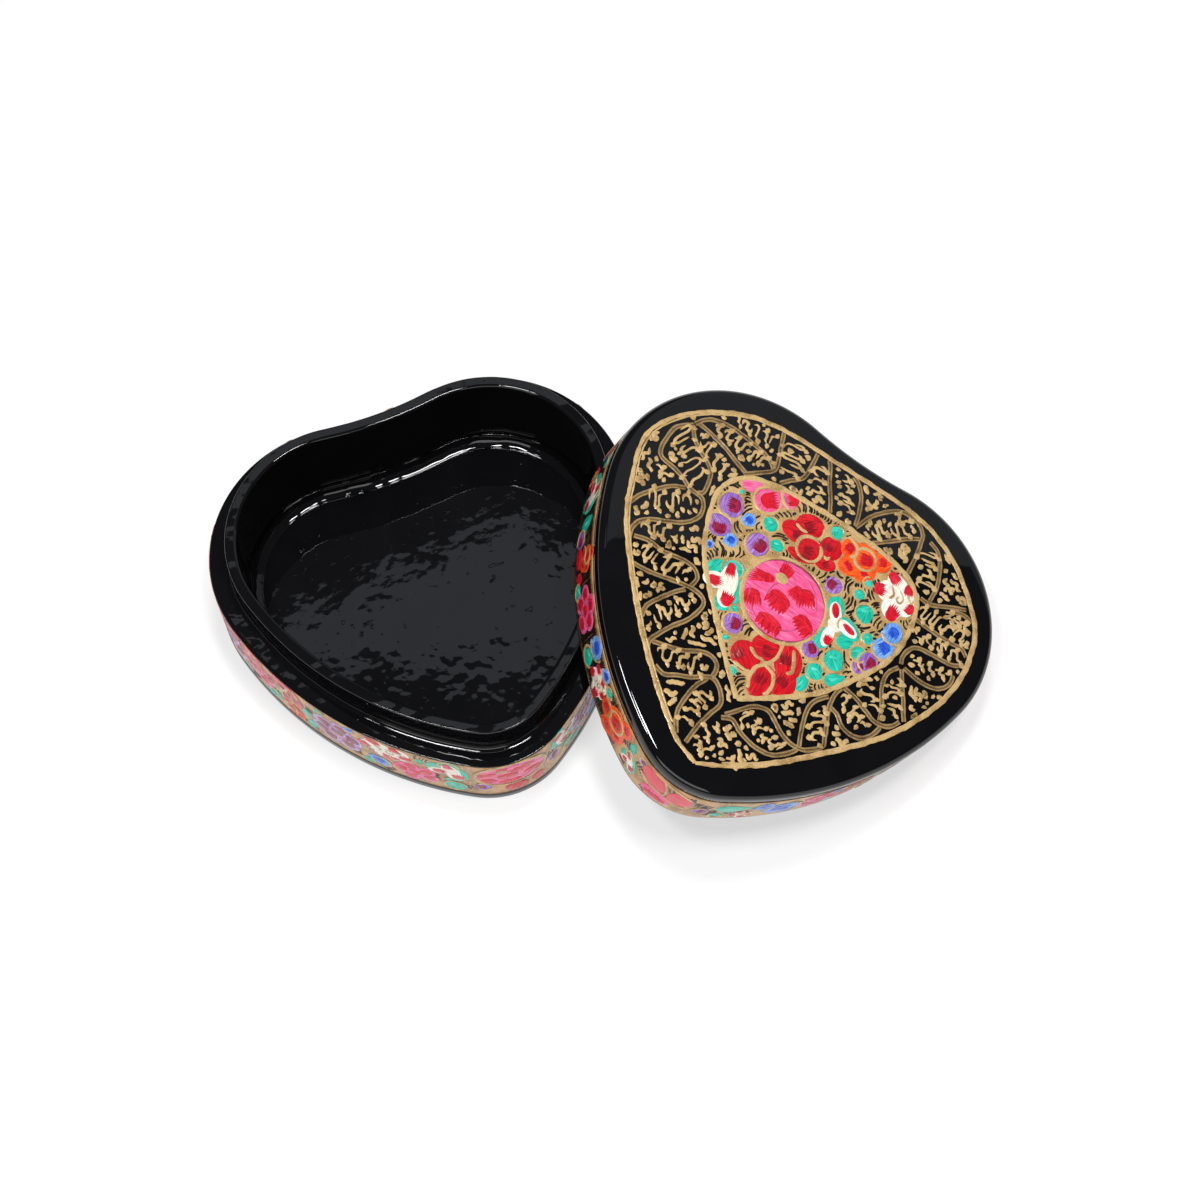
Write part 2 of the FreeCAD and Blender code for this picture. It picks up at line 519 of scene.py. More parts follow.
# Strokes below this lift are petals and leaves, which the dark ribs leave free
PETAL_MOST = TOUCH - 0.004

# Each stroke is lifted by up to this much more, and is at least this wide
LAYER_SPREAD = 0.016
FINEST = 0.06

# Samples along a pressed stroke are this far apart
PRESS_STEP = 0.35


def through(points, step):
    """A smooth line through the points, with samples about one step apart."""
    points = np.array(points, float)
    padded = np.vstack([2 * points[0] - points[1], points, 2 * points[-1] - points[-2]])
    line = []
    for before, start, end, after in zip(padded, padded[1:], padded[2:], padded[3:]):
        count = max(2, round(np.linalg.norm(end - start) / step))
        for t in np.linspace(0, 1, count, endpoint=False):
            line.append(0.5 * (2 * start + (end - before) * t
                               + (2 * before - 5 * start + 4 * end - after) * t**2
                               + (3 * start - before - 3 * end + after) * t**3))
    return np.array(line + [points[-1]])


def turned(points, degrees):
    """The points turned about the origin."""
    c, s = ray(math.radians(degrees))
    return np.atleast_2d(points) @ np.array([[c, s], [-s, c]])


class Painting:
    """All brush strokes on one surface, sorted by paint."""

    def __init__(self, seed):
        self.random = random.Random(seed)
        self.strokes = {}

    def near(self, value, share):
        return value * (1 + self.random.uniform(-share, share))

    def stroke(self, paint, line, widths, lift):
        """One stroke along the line; the small random lift keeps crossing strokes from sharing a face."""
        lift = lift + self.random.uniform(0.0, LAYER_SPREAD)
        points = np.column_stack([line, np.full(len(line), lift)])
        self.strokes.setdefault(paint, []).append((points, np.maximum(widths, FINEST)))

    def line(self, paint, points, width, lift, step=0.6, ends=0.5):
        """A hand-drawn line: its width swells and thins, and its ends taper."""
        line = through(points, step)
        count = len(line)
        wave = self.random.uniform(0, 6)
        t = np.linspace(0, 1, count)
        run = t * count * step
        swell = 1 + 0.14 * np.sin(run / 2.3 + wave) + 0.08 * np.sin(run + wave)
        taper = np.minimum(t, 1 - t) * count * step / ends
        self.stroke(paint, line, width * swell * np.clip(taper + 0.25, 0, 1), lift)

    def press(self, paint, points, width, lift):
        """A pressed stroke: thin at its ends, fatter in its middle and where the brush turns."""
        line = through(points, PRESS_STEP)
        ahead = np.gradient(line, axis=0)
        turn = np.abs(np.gradient(np.unwrap(np.arctan2(ahead[:, 1], ahead[:, 0])))) / PRESS_STEP
        t = np.linspace(0, 1, len(line))
        ends = np.clip(np.minimum(t, 1 - t) * len(line) * PRESS_STEP / 0.9 + 0.3, 0, 1)
        swell = 0.62 + 0.30 * np.sin(np.pi * t) + 0.42 * np.clip(turn / 1.5, 0, 1)
        self.stroke(paint, line, width * swell * ends, lift)


class Motif:
    """A place on a painting: what is drawn there is in shares of its size, turned with it."""

    def __init__(self, painting, x, y, size, turn=0.0, squash=1.0):
        self.painting = painting
        self.place = np.array([x, y], float)
        self.size = size
        self.turn = turn
        self.squash = squash
        self.random = painting.random

    def spot(self, points):
        return self.place + self.size * turned(points, self.turn) * [1.0, self.squash]

    def oval(self, paint, u, v, long, wide, heading=0.0, lift=PETAL):
        """A filled petal or dot."""
        t = np.cos(np.linspace(math.pi, 0, 13))
        ahead = ray(math.radians(heading))
        line = self.spot(np.array([u, v]) + np.outer(t * long, ahead))
        across = self.spot([(0, 0), (-ahead[1], ahead[0])])
        breadth = 2 * wide * np.linalg.norm(across[1] - across[0])
        self.painting.stroke(paint, line, breadth * np.sqrt(np.clip(1 - t**2, 0, 1)), lift)

    def dab(self, paint, u, v, length, width, heading, lift, bend=0.0, fat=0.4):
        """One touch of the brush from a root, fat at a share of its length and pointed at its end."""
        t = np.linspace(0, 1, 9)
        turn = np.radians(heading + bend * (t - 0.5))
        line = np.column_stack([u + length * t * np.cos(turn), v + length * t * np.sin(turn)])
        rising = np.sqrt(np.clip(1 - (1 - t / fat)**2, 0, 1))
        falling = 1 - (np.maximum(t - fat, 0) / (1 - fat))**1.8
        shape = np.where(t < fat, rising, falling)
        self.painting.stroke(paint, self.spot(line), width * self.size * np.maximum(shape, 0.08), lift)

    def fan(self, paint, u, v, width, length, heading, teeth, lift=TOUCH):
        """A feathered touch: bristles side by side from a common edge to ragged points."""
        across = math.radians(heading + 90)
        for k in range(teeth):
            side = (k + 0.5) / teeth - 0.5
            reach = length * (1 - 0.8 * side * side) * self.random.uniform(0.78, 1.08)
            root = (u + width * side * math.cos(across), v + width * side * math.sin(across))
            self.dab(paint, *root, reach, 1.75 * width / teeth, heading + side * 26, lift, fat=0.35)

    def arc(self, paint, u, v, radius, start, sweep, width, lift=OUTLINE):
        """An outline drawn round a petal; its width is in millimetres."""
        count = max(6, round(abs(math.radians(sweep)) * radius * self.size / 0.6))
        angles = np.radians(start + sweep * np.linspace(0, 1, count))
        ring = radius * np.column_stack([np.cos(angles), np.sin(angles)])
        line = self.spot(np.array([u, v]) + ring)
        t = np.linspace(0, 1, count)
        widths = width * (0.9 + 0.25 * np.sin(t * 9 + self.random.uniform(0, 6)))
        self.painting.stroke(paint, line, widths * np.clip(np.minimum(t, 1 - t) * 8 + 0.45, 0, 1), lift)

    def curve(self, paint, points, width, lift=OUTLINE):
        """A line through places of the motif; its width is in millimetres."""
        self.painting.line(paint, self.spot(points), width, lift, step=0.45)


# Motifs, in shares of their own radius; line widths are in millimetres

FINE_LINE = 0.6
HATCH_WIDTH, HATCH_GAP = 0.52, 0.86


def touch(m, paint, *shapes):
    """A brush pressed down and flicked: ovals with a feathered edge in the heading's direction."""
    for u, v, long, wide, heading in shapes:
        m.oval(paint, u, v, long, wide, heading + 90, TOUCH)
        m.fan(paint, u, v, 1.7 * long, 2.1 * wide, heading, 7, FEATHER)


def petals(m, paint, *shapes, lift=PETAL, longer=1.0, wider=1.0):
    """Filled petals: place, half length, half width and heading of each."""
    for u, v, long, wide, heading in shapes:
        m.oval(paint, u, v, longer * long, wider * wide, heading, lift)


def scrolls(m, width, *lines):
    """Gold lines drawn over the petals."""
    for line in lines:
        m.curve("gold", line, width)


def rose(m):
    """A round pink rose with feathered red touches and a gold heart."""
    m.oval("pink", 0, 0, 1.0, 0.98)
    for start, sweep, radius in ((15, 95, 0.80), (190, 80, 0.84), (285, 60, 0.72), (80, 170, 0.42)):
        m.arc("rose_shade", 0, 0, radius, start, sweep, 0.045 * m.size, SHADE)
    touch(m, "crimson",
          (-0.28, 0.62, 0.16, 0.13, 85), (-0.62, 0.24, 0.12, 0.22, 200), (0.38, 0.42, 0.22, 0.16, 295),
          (0.16, 0.40, 0.12, 0.14, 250), (-0.10, -0.02, 0.28, 0.17, 262), (0.68, -0.20, 0.26, 0.16, 240),
          (-0.70, -0.32, 0.20, 0.16, 300), (-0.05, -0.64, 0.32, 0.15, 268))
    m.oval("gold", -0.29, 0.44, 0.13, 0.16, 90, OUTLINE)
    m.oval("gold", -0.40, 0.46, 0.06, 0.05, 0, OUTLINE)
    m.arc("gold", 0, 0, 1.03, 80, 372, 1.0)


def ring_poppy(m):
    """Deep red petals round a middle that is ringed in gold."""
    for u, v, long, wide, heading in (
            (-0.29, 0.50, 0.44, 0.34, 25), (-0.57, 0.03, 0.47, 0.30, 0), (0.64, 0.24, 0.38, 0.32, 80),
            (0.03, -0.23, 0.42, 0.42, 0), (-0.16, -0.62, 0.36, 0.16, 0), (0.72, -0.34, 0.32, 0.2, 20)):
        m.oval("scarlet", u, v, 1.15 * long, 1.22 * wide, heading)
        m.fan("deep_red", u - 0.3 * wide, v - 0.5 * wide, 0.9 * wide, long, heading + 20, 5)
    m.arc("gold", 0.03, -0.23, 0.43, 60, 350, 0.85)
    scrolls(m, 0.8, ((-0.72, 0.30), (-0.50, 0.22), (-0.26, 0.24)),
            ((0.15, 0.72), (0.22, 0.50), (0.16, 0.28), (-0.02, 0.2)))
    scrolls(m, 0.7, ((0.55, -0.12), (0.68, -0.16), (0.74, -0.04)))


def curl_poppy(m):
    """Five red petals drawn apart by curling gold lines."""
    for u, v, long, wide, heading in (
            (-0.28, 0.48, 0.38, 0.32, 20), (0.50, 0.46, 0.48, 0.34, 105), (-0.66, -0.10, 0.42, 0.36, 150),
            (0.64, -0.16, 0.42, 0.32, 80), (0.09, -0.50, 0.48, 0.34, 90)):
        m.oval("scarlet", u, v, 1.15 * long, 1.25 * wide, heading)
        m.fan("deep_red", u - 0.2 * wide, v - 0.4 * wide, 0.8 * wide, long, heading, 5)
    scrolls(m, 0.85,
            ((0.10, 0.98), (0.13, 0.42), (-0.04, 0.04), (-0.25, -0.20), (-0.28, -0.60), (-0.16, -0.90)),
            ((-0.04, 0.0), (0.28, -0.11), (0.40, -0.40), (0.38, -0.70), (0.28, -0.78)),
            ((-0.66, 0.22), (-0.41, 0.08), (-0.14, 0.10)),
            ((0.46, 0.90), (0.65, 0.53), (0.71, 0.28), (0.58, 0.16)),
            ((-0.90, -0.46), (-0.48, -0.48), (-0.35, -0.42)))


def marigold(m):
    """An orange flower shaded with red round a gold ring."""
    petals(m, "orange",
           (-0.68, 0.15, 0.40, 0.34, 80), (0.05, 0.14, 0.62, 0.56, 0), (0.72, 0.42, 0.40, 0.32, 60),
           (-0.35, -0.55, 0.48, 0.34, 20), (0.30, -0.42, 0.46, 0.30, 50), longer=1.15, wider=1.25)
    touch(m, "scarlet",
          (0.20, 0.16, 0.26, 0.22, 200), (-0.70, 0.22, 0.20, 0.16, 250), (0.80, 0.50, 0.20, 0.13, 200),
          (-0.45, -0.62, 0.22, 0.12, 60), (0.30, -0.50, 0.18, 0.10, 80))
    m.arc("gold", 0.06, 0.12, 0.48, 200, 345, 0.75)
    scrolls(m, 0.7, ((-1.0, 0.60), (-0.5, 0.42), (-0.36, 0.05), (-0.56, -0.2)))


def white_blossom(m):
    """A white flower with feathered red tips and gold scrolls in the middle."""
    petals(m, "cream",
           (-0.15, 0.55, 0.50, 0.36, 170), (-0.42, 0.05, 0.46, 0.40, 80), (0.45, 0.28, 0.50, 0.36, 60),
           (0.05, -0.48, 0.46, 0.44, 90), (0.50, -0.12, 0.40, 0.34, 90), (0, 0.1, 0.5, 0.45, 0))
    touch(m, "crimson",
          (-0.46, 0.72, 0.22, 0.19, 330), (0.30, 0.64, 0.18, 0.18, 290), (-0.76, -0.10, 0.26, 0.17, 15),
          (0.72, -0.08, 0.24, 0.14, 165), (0.14, -0.76, 0.24, 0.24, 80))
    scrolls(m, 0.5, ((-0.34, 0.34), (-0.12, 0.06), (-0.22, -0.2)),
            ((0.35, 0.40), (0.62, 0.15), (0.66, 0.35)),
            ((0.02, 0.36), (0.28, 0.14), (0.22, -0.12), (0.04, -0.04), (0.10, 0.13)))


def lily(m):
    """A white flower of three red-headed petals in a bed of teal leaves."""
    petals(m, "teal",
           (0.02, 0.60, 0.52, 0.44, 20), (-0.52, 0.20, 0.50, 0.38, 250), (0.50, -0.10, 0.66, 0.30, 100),
           (0.30, -0.80, 0.40, 0.30, 30), lift=LEAF)
    petals(m, "cream",
           (0.10, 0.06, 0.70, 0.38, 105), (-0.36, -0.16, 0.50, 0.34, 20), (0.26, -0.50, 0.46, 0.34, 110))
    touch(m, "crimson",
          (-0.06, 0.62, 0.17, 0.22, 285), (-0.46, -0.22, 0.20, 0.20, 12), (0.38, -0.66, 0.24, 0.20, 95))
    m.arc("gold", 0.02, 0.58, 0.42, -30, 250, 0.6)


def trefoil(m):
    """Three white petals with red middles among teal leaves."""
    petals(m, "teal",
           (-0.34, 0.72, 0.46, 0.34, 120), (0.42, 0.22, 0.55, 0.36, -15), (-0.22, -0.66, 0.46, 0.34, 80),
           (0.55, -0.30, 0.34, 0.28, 30), lift=LEAF)
    petals(m, "cream",
           (-0.26, 0.48, 0.44, 0.25, 118), (0.40, 0.20, 0.44, 0.26, -12), (-0.12, -0.50, 0.46, 0.24, 92),
           (-0.05, 0.06, 0.32, 0.28, 0))
    petals(m, "crimson", (-0.30, 0.56, 0.30, 0.15, 118), (0.46, 0.22, 0.28, 0.13, -14), lift=TOUCH)
    touch(m, "crimson", (-0.05, -0.70, 0.16, 0.14, 85))
    scrolls(m, 0.5, ((0.02, 0.5), (-0.02, 0.2), (0.1, 0.0)))


def peony(m):
    """Pink petals over a crimson heart, parted by gold lines."""
    petals(m, "pink",
           (-0.72, 0.05, 0.40, 0.28, 30), (0.02, -0.16, 0.50, 0.46, 70), (0.58, 0.36, 0.42, 0.32, 330),
           (0.30, 0.0, 0.3, 0.3, 0))
    touch(m, "crimson", (0.0, -0.16, 0.30, 0.26, 40), (0.86, 0.50, 0.22, 0.16, 210))
    m.fan("rose_shade", 0.50, 0.14, 0.3, 0.4, 80, 5)
    m.arc("gold", 0.0, -0.14, 0.52, 100, 300, 0.75)
    scrolls(m, 0.7, ((0.30, 0.75), (0.34, 0.42), (0.55, 0.18), (0.86, 0.06)))


def bud(m):
    """A violet bud with maroon brushed in from one side."""
    petals(m, "violet", (0, 0, 1.0, 0.90, 70), (-0.45, -0.30, 0.62, 0.50, 30))
    touch(m, "maroon", (0.34, -0.05, 0.56, 0.36, 165))
    m.arc("gold", 0.0, 0, 1.05, 60, 230, FINE_LINE)


def blue_blossom(m):
    """A sky-blue dab with darker blue brushed over its middle."""
    petals(m, "sky", (0, 0, 1.0, 0.88, 80), (-0.5, -0.3, 0.6, 0.4, 20))
    touch(m, "blue", (0.10, 0.22, 0.46, 0.36, 250))
    m.arc("gold", 0.0, 0, 1.02, 200, 150, FINE_LINE)


def teal_dot(m):
    lean = m.random.uniform(0, 180)
    petals(m, "teal", (0, 0, 1.04, 0.88, lean), (0.25, -0.2, 0.8, 0.7, lean + 60), lift=LEAF)
    m.dab("pale_teal", -0.5, 0.1, 0.8, 0.35, 20, SHADE)
    m.arc("gold", 0.05, 0, 1.08, lean, m.random.uniform(190, 320), FINE_LINE)


def teal_leaf(m):
    m.dab("teal", -1.0, 0, 2.0, 1.25, 0, LEAF, bend=25, fat=0.45)
    m.dab("pale_teal", -0.6, 0.05, 1.0, 0.3, 0, SHADE, bend=25)


def ring_bloom(m, petal, mark, count):
    """Full petals in a ring, each with a feathered touch of another colour near its tip."""
    m.oval(petal, 0, 0, 0.55, 0.52)
    for k in range(count):
        angle = 360 * k / count + m.random.uniform(-9, 9)
        u, v = ray(math.radians(angle))
        m.oval(petal, 0.60 * u, 0.60 * v, 0.42, 0.36, angle + m.random.uniform(40, 90))
        m.arc("rose_shade", 0.60 * u, 0.60 * v, 0.36, angle + 60, 170, 0.3, SHADE)
        touch(m, mark, (0.66 * u, 0.66 * v, 0.22, 0.17, angle + 180 + m.random.uniform(-30, 30)))
    touch(m, mark, (0.02, 0.05, 0.22, 0.16, m.random.uniform(0, 360)))


def pink_bloom(m):
    ring_bloom(m, "pink", "crimson", 5)


def violet_bloom(m):
    ring_bloom(m, "lilac", "maroon", 6)


def split_bloom(m):
    """Two broad coral petals drawn apart by gold lines, over a feathered pink one."""
    m.oval("pink", -0.10, -0.58, 0.62, 0.36)
    m.fan("crimson", -0.10, -0.82, 0.80, 0.34, 90, 7)
    petals(m, "coral", (-0.50, 0.30, 0.66, 0.44, -22), (0.62, 0.06, 0.46, 0.56, -15))
    scrolls(m, 0.7, ((-1.12, 0.06), (-0.55, -0.20), (0.06, -0.22), (0.60, -0.46), (1.02, -0.44)),
            ((-0.20, 0.72), (0.02, 0.34), (0.10, 0.0), (0.06, -0.24)),
            ((-0.72, 0.78), (-0.20, 0.74), (0.45, 0.62), (1.0, 0.42)))


def twin_petals(m):
    """A large and a small red petal side by side."""
    petals(m, "crimson", (-0.38, 0, 0.88, 0.66, -12), (1.28, 0.12, 0.62, 0.50, 75))
    m.fan("scarlet", -0.70, 0.05, 0.50, 0.70, -12, 5)


def edge_blush(m):
    """Red bristle marks that hang down from a band's upper edge."""
    m.fan("crimson", 0.0, 0.15, 2.2, 0.75, 270, 11, OUTLINE)
    m.fan("scarlet", 0.3, 0.15, 1.2, 0.95, 265, 6, OUTLINE + 0.01)


def hatching(painting, x, y, heading, count, length):
    """Short dark strokes side by side, a little fanned, over the gold ground."""
    r = painting.random
    for k in range(count):
        side = k - (count - 1) / 2
        m = Motif(painting, x, y, 1.0, heading + side * 3.0)
        bow = r.uniform(-0.1, 0.35)
        reach = length * r.uniform(0.46, 0.62)
        level = HATCH_GAP * side
        width = painting.near(HATCH_WIDTH, 0.2)
        m.curve("ink", ((-reach, level), (0, level + bow), (reach, level)), width, HATCH)


# The lid's top: two gold outlines, a scrolled band between them and a flower medallion inside

# The outlines and the loops in the band, through these places
OUTER_OUTLINE = ((0.5, -41.5), (9, -36.5), (18, -29), (34, -11.5), (41.5, 1.5), (44.3, 11), (44.5, 19),
                 (42, 27.5), (33, 36.8), (25, 41.2), (17, 43), (7, 43), (-6, 42.4), (-18, 41.8),
                 (-28, 39.4), (-37.5, 33.2), (-43.5, 26), (-45.8, 18.5), (-43.5, 8.5), (-38.5, -3.5),
                 (-24, -22.5), (-8, -37.5))
MEDALLION = ((1.5, -23.2), (9, -17.6), (17, -10.5), (24, -0.5), (28, 8), (28.6, 17), (26.5, 24.4),
             (20, 28.4), (6, 29.4), (-10, 28.4), (-20, 25.8), (-24.6, 20.5), (-24.9, 14), (-21, 2.5),
             (-13.5, -7), (-6, -15.5))
LOOPS = (
    ((0.5, -29), (3, -28), (6, -29.4), (10, -30.3), (14, -29.8), (16.5, -28), (18.2, -26),
     (18.9, -24.6)),
    ((1, -28), (4, -24.2), (6, -22.2), (9, -21.3), (11.5, -22.5), (14, -24), (17, -24.8), (20, -24.3),
     (22, -22.8), (23.5, -21), (23.2, -19.4), (22, -16), (20.6, -12), (20.4, -8.5), (21, -6.2)),
    ((18.8, -24.2), (17.6, -20.6), (16.7, -17), (16.6, -14.5), (17.4, -12.2), (19.4, -9.8)),
    ((21, -11.8), (23, -12.4), (25, -14), (27.5, -14.6), (30, -14), (31.6, -12.5), (32.6, -10.5),
     (33, -8.8)),
    ((21.5, -5.8), (25, -6.3), (28, -7.4), (31, -8.4), (33.5, -8.1), (35.3, -6.8), (36.4, -4.8)),
    ((32.2, -7.6), (31, -4), (29.4, -1), (28.7, 1.6), (28.9, 4), (30.4, 6.6)),
    ((31.2, 6.6), (33.4, 2.6), (35, 0), (36.3, -2.5), (37.3, -4.2)),
    ((31.5, 7.2), (36, 6.7), (39.6, 7.3), (41.8, 8.8), (42.8, 11), (42.6, 13.2)),
    ((30.5, 7.6), (30.1, 9.2), (30.4, 11.2), (31.4, 13), (33.6, 14), (37, 14.5), (41, 15.1),
     (43.2, 16.4)),
    ((28.7, 19.6), (33, 19.5), (38, 19.7), (41.5, 20.2), (43.4, 19)),
    ((27.4, 25), (30, 25), (32, 26), (35, 27.8), (38.4, 29.6)),
    ((36, 27.2), (38.5, 28), (41, 27.6)),
    ((29.7, 25.6), (29.7, 30), (28.9, 33), (27.7, 36), (26, 38.1), (23.4, 39.2)),
    ((22.1, 28.6), (22, 33), (21.6, 37), (21.2, 39.4)),
    ((11.4, 29.6), (15, 33), (18, 36), (20.9, 38.2)),
    ((6.3, 30.6), (8.3, 35.5), (11, 39), (13.5, 41.2), (16, 41.9), (19.3, 41.3), (21.4, 39.2)),
    ((6.1, 30.8), (5.2, 35), (4, 38.4), (2, 41), (0.2, 41.9)),
    ((-0.6, 30), (-2, 33), (-4, 36.5), (-5.5, 40), (-6.6, 41.8)),
    ((-9.7, 41.4), (-9.6, 37), (-10, 33.5), (-12.3, 31), (-14, 28.8)),
    ((-19, 41), (-18, 37.5), (-17, 34), (-16.6, 31), (-18.5, 28.8), (-21, 26.5), (-22.4, 25.4)),
    ((-16.8, 31), (-19, 32.7), (-22, 33.4), (-27, 34), (-31, 34), (-34.5, 33), (-36.5, 31.3),
     (-37.6, 29.3)),
    ((-36.9, 30), (-33, 29.5), (-29, 28.5), (-25, 27), (-22, 26)),
    ((-37.9, 28.8), (-36, 26), (-34, 24.5), (-31, 22.7), (-29, 21), (-28.2, 18.5), (-28, 15.4),
     (-29.2, 14.4)),
    ((-37.7, 29), (-39.5, 27.5), (-41, 25.5), (-41.5, 22), (-41.3, 18.7), (-40, 17), (-37, 16.5),
     (-34, 15.7), (-31, 14.3), (-28, 14), (-26.5, 12.5), (-26, 10), (-27, 7.5), (-29, 5.5), (-32, 3.7),
     (-35, 2), (-37, 0), (-37.6, -2.6), (-36.8, -5.6)),
    ((-32, 13.8), (-35, 12), (-38, 8.5), (-40, 5.5), (-41, 2.6)),
    ((-36.4, -3.8), (-33, -2.8), (-29, -3), (-24, -2), (-21, -2.3), (-19.4, -4), (-19.8, -6.5)),
    ((-34.2, -9.7), (-30, -9.3), (-26.5, -8.5), (-23, -7.5), (-19.5, -6.8), (-16.7, -7), (-15.3, -8.5),
     (-15.7, -11.5), (-17, -14.5), (-19, -17.5), (-20.5, -20.5), (-21.5, -23), (-21, -25),
     (-19.2, -27.1)),
    ((-20.4, -7.8), (-22.3, -10), (-24.5, -13.5), (-26, -16.5), (-25.7, -19.4)),
    ((-21, -23), (-17.5, -22), (-14, -20.7), (-11, -18.8), (-8.5, -18), (-6.3, -18.7), (-5.5, -20.5),
     (-5.7, -22.5)),
    ((-17.8, -27.4), (-15, -28), (-12.5, -26.5), (-9.5, -25), (-7, -23), (-5, -22.3), (-2.5, -23.8),
     (-1, -26.5), (-2, -30), (-3, -34), (-3.5, -38.6)),
    ((-6.3, -23), (-7.7, -26), (-8.3, -29), (-8.5, -33), (-7.5, -36), (-6.2, -38)),
)

# Wavering gold strokes in the cells, each from one place to another, with its swing
WAVES = (
    (0.0, -30.8, -1.2, -37.6, 0.7), (-1.4, -38.4, 8.5, -36.0, 0.5), (4.0, -25.6, 16.4, -27.4, 1.1),
    (19.0, -12.8, 21.4, -21.8, 1.0), (22.0, -8.4, 30.0, -11.4, 1.2), (23.5, -0.6, 30.0, -6.4, 1.1),
    (31.2, 4.0, 34.0, -6.0, 1.5), (33.0, 10.2, 42.0, 12.2, 0.5), (29.6, 16.2, 42.6, 18.0, 0.8),
    (28.6, 22.2, 42.6, 22.8, 1.2), (34.0, 25.6, 41.4, 25.8, 0.6), (24.0, 37.0, 27.4, 27.4, 1.7),
    (9.2, 31.8, 18.2, 39.2, 1.4), (-1.8, 40.6, 3.2, 31.6, 1.3), (-7.8, 39.2, -5.6, 31.6, 1.2),
    (-15.6, 40.4, -13.6, 31.8, 2.3), (-31.0, 36.8, -19.8, 37.2, 1.2), (-33.4, 31.8, -19.0, 31.2, 1.0),
    (-39.6, 25.6, -30.2, 17.0, 2.1), (-40.4, 14.4, -36.4, 13.2, 0.6), (-37.8, 6.0, -28.6, 12.0, 1.7),
    (-35.6, -1.0, -27.4, 3.0, 1.1), (-33.8, -5.6, -21.6, -5.0, 1.5), (-18.6, -9.4, -24.2, -20.4, 1.1),
    (-18.6, -24.4, -8.2, -21.4, 1.4), (-4.6, -25.0, -6.2, -35.6, 0.9), (-35.4, 27.4, -26.0, 22.4, 1.0),
    (13.0, 39.6, 18.8, 40.2, 0.6),
)

# The medallion's flowers: motif, place, size and turn in degrees
MEDALLION_FLOWERS = (
    (rose, 0, 3.8, 10.0), (ring_poppy, -1, 20.3, 7.2), (curl_poppy, 3.8, -12.4, 7.9),
    (marigold, 11.5, 24.2, 5.7), (white_blossom, 22.3, 21.2, 6.1), (lily, -13.6, -0.6, 6.1),
    (trefoil, 13.3, 5.8, 6.2), (peony, -14.5, 24.0, 6.4), (bud, -21.0, 16.8, 3.2, 30),
    (bud, -21.2, 10.6, 3.0, 300), (bud, -11.4, 12.0, 3.0, 10), (bud, 8.2, 14.4, 2.3, 190),
    (bud, -7.4, -8.2, 2.5, 30), (bud, 10.6, -2.6, 2.2, 60), (bud, 23.8, 3.0, 2.6, 20),
    (bud, 22.2, 0.6, 1.8, 60), (blue_blossom, -15.9, 16.0, 1.9), (blue_blossom, -17.2, 8.9, 1.9, 20),
    (blue_blossom, -21, 5, 1.2), (blue_blossom, 25.6, 13.0, 2.7, 10),
    (blue_blossom, 25.2, 8.4, 2.9, -10), (teal_dot, -11.2, 18.3, 1.9), (teal_dot, -7.6, 14.6, 1.7),
    (teal_dot, 3, 26.6, 1.7), (teal_dot, 14.9, 20.4, 1.2), (teal_dot, 14.4, 16.4, 1.4),
    (teal_dot, 17.6, 13.0, 2.3), (teal_dot, 21, 8.0, 1.5), (teal_dot, 20.6, 3.4, 1.9),
    (teal_dot, 16.4, -1.6, 2.6), (teal_dot, 13.8, -6.7, 2.1), (teal_leaf, 18.8, -5.6, 2.6, 30),
    (teal_leaf, 12.6, -10.8, 2.4, 70), (teal_dot, -7.4, -12.2, 0.9), (teal_dot, -2.4, -18, 1.1),
    (teal_dot, -20.6, 21.2, 0.8), (teal_dot, -8.8, -5.0, 1.0), (teal_dot, 3.5, -21.4, 0.4),
)


def closed_line(points):
    """The outline as an open run that starts and ends at its pointed tip."""
    return through(points + points[:1], 0.5)


OUTER_LINE = closed_line(OUTER_OUTLINE)
INNER_LINE = closed_line(MEDALLION)
BORDERS = np.concatenate([OUTER_LINE, INNER_LINE])

# Where the plan's origin is from the lid's middle, and about where the medallion's middle is from that
PLAN_ORIGIN = np.array([-0.1, -0.75])
MEDALLION_MIDDLE = (0.5, 9.0)

# A finer line just inside the outer outline, which leaves the tip free
SECOND_LINE = OUTER_LINE[12:-20] * 0.984 + [0.1, 0.2]

# Widths of the outer outline, the finer line and the medallion's outline
OUTER_WIDTH, SECOND_WIDTH, INNER_WIDTH = 1.0, 0.4, 1.25

# Widths of the loops' dull bed and of the two lines along it, and how far these are from its middle
BED_WIDTH, LOOP_WIDTH, LOOP_OFFSET = 1.1, 0.34, 0.37

# Gold stems: about the length of each turn, and width
STEM_TURN, STEM_WIDTH = 1.3, 0.62

# Leaves on the gold stems: length, width and least distance from the outlines
LEAF_LENGTH, LEAF_WIDTH, LEAF_ROOM = 1.3, 1.25, 0.9

# Dark ribs: distance from petals, pitch, share of a flower where they start, length, room between them
RIM, RIB_PITCH, RIB_START, RIB_LENGTH, RIB_ROOM = 0.06, 0.76, 0.7, 3.8, 0.42
RIB_STEP, RIB_WIDTH, RIB_BOW = 0.25, 0.5, 0.07

# Dark ribs along the medallion's border: distance from it and length
BORDER_GAP, BORDER_RIB = 0.9, 2.6

# Passes that fill the scrolled band: tries, fewest and most steps, room to other strokes
FILL_PASSES = ((2500, 6, 11, 1.12), (3000, 4, 8, 1.02), (2500, 3, 4, 0.92))
FILL_WIDTH = 1.0
FILL_STEP = 0.45
FILL_TURNS = (0, 0.6, -0.6, 1.2)


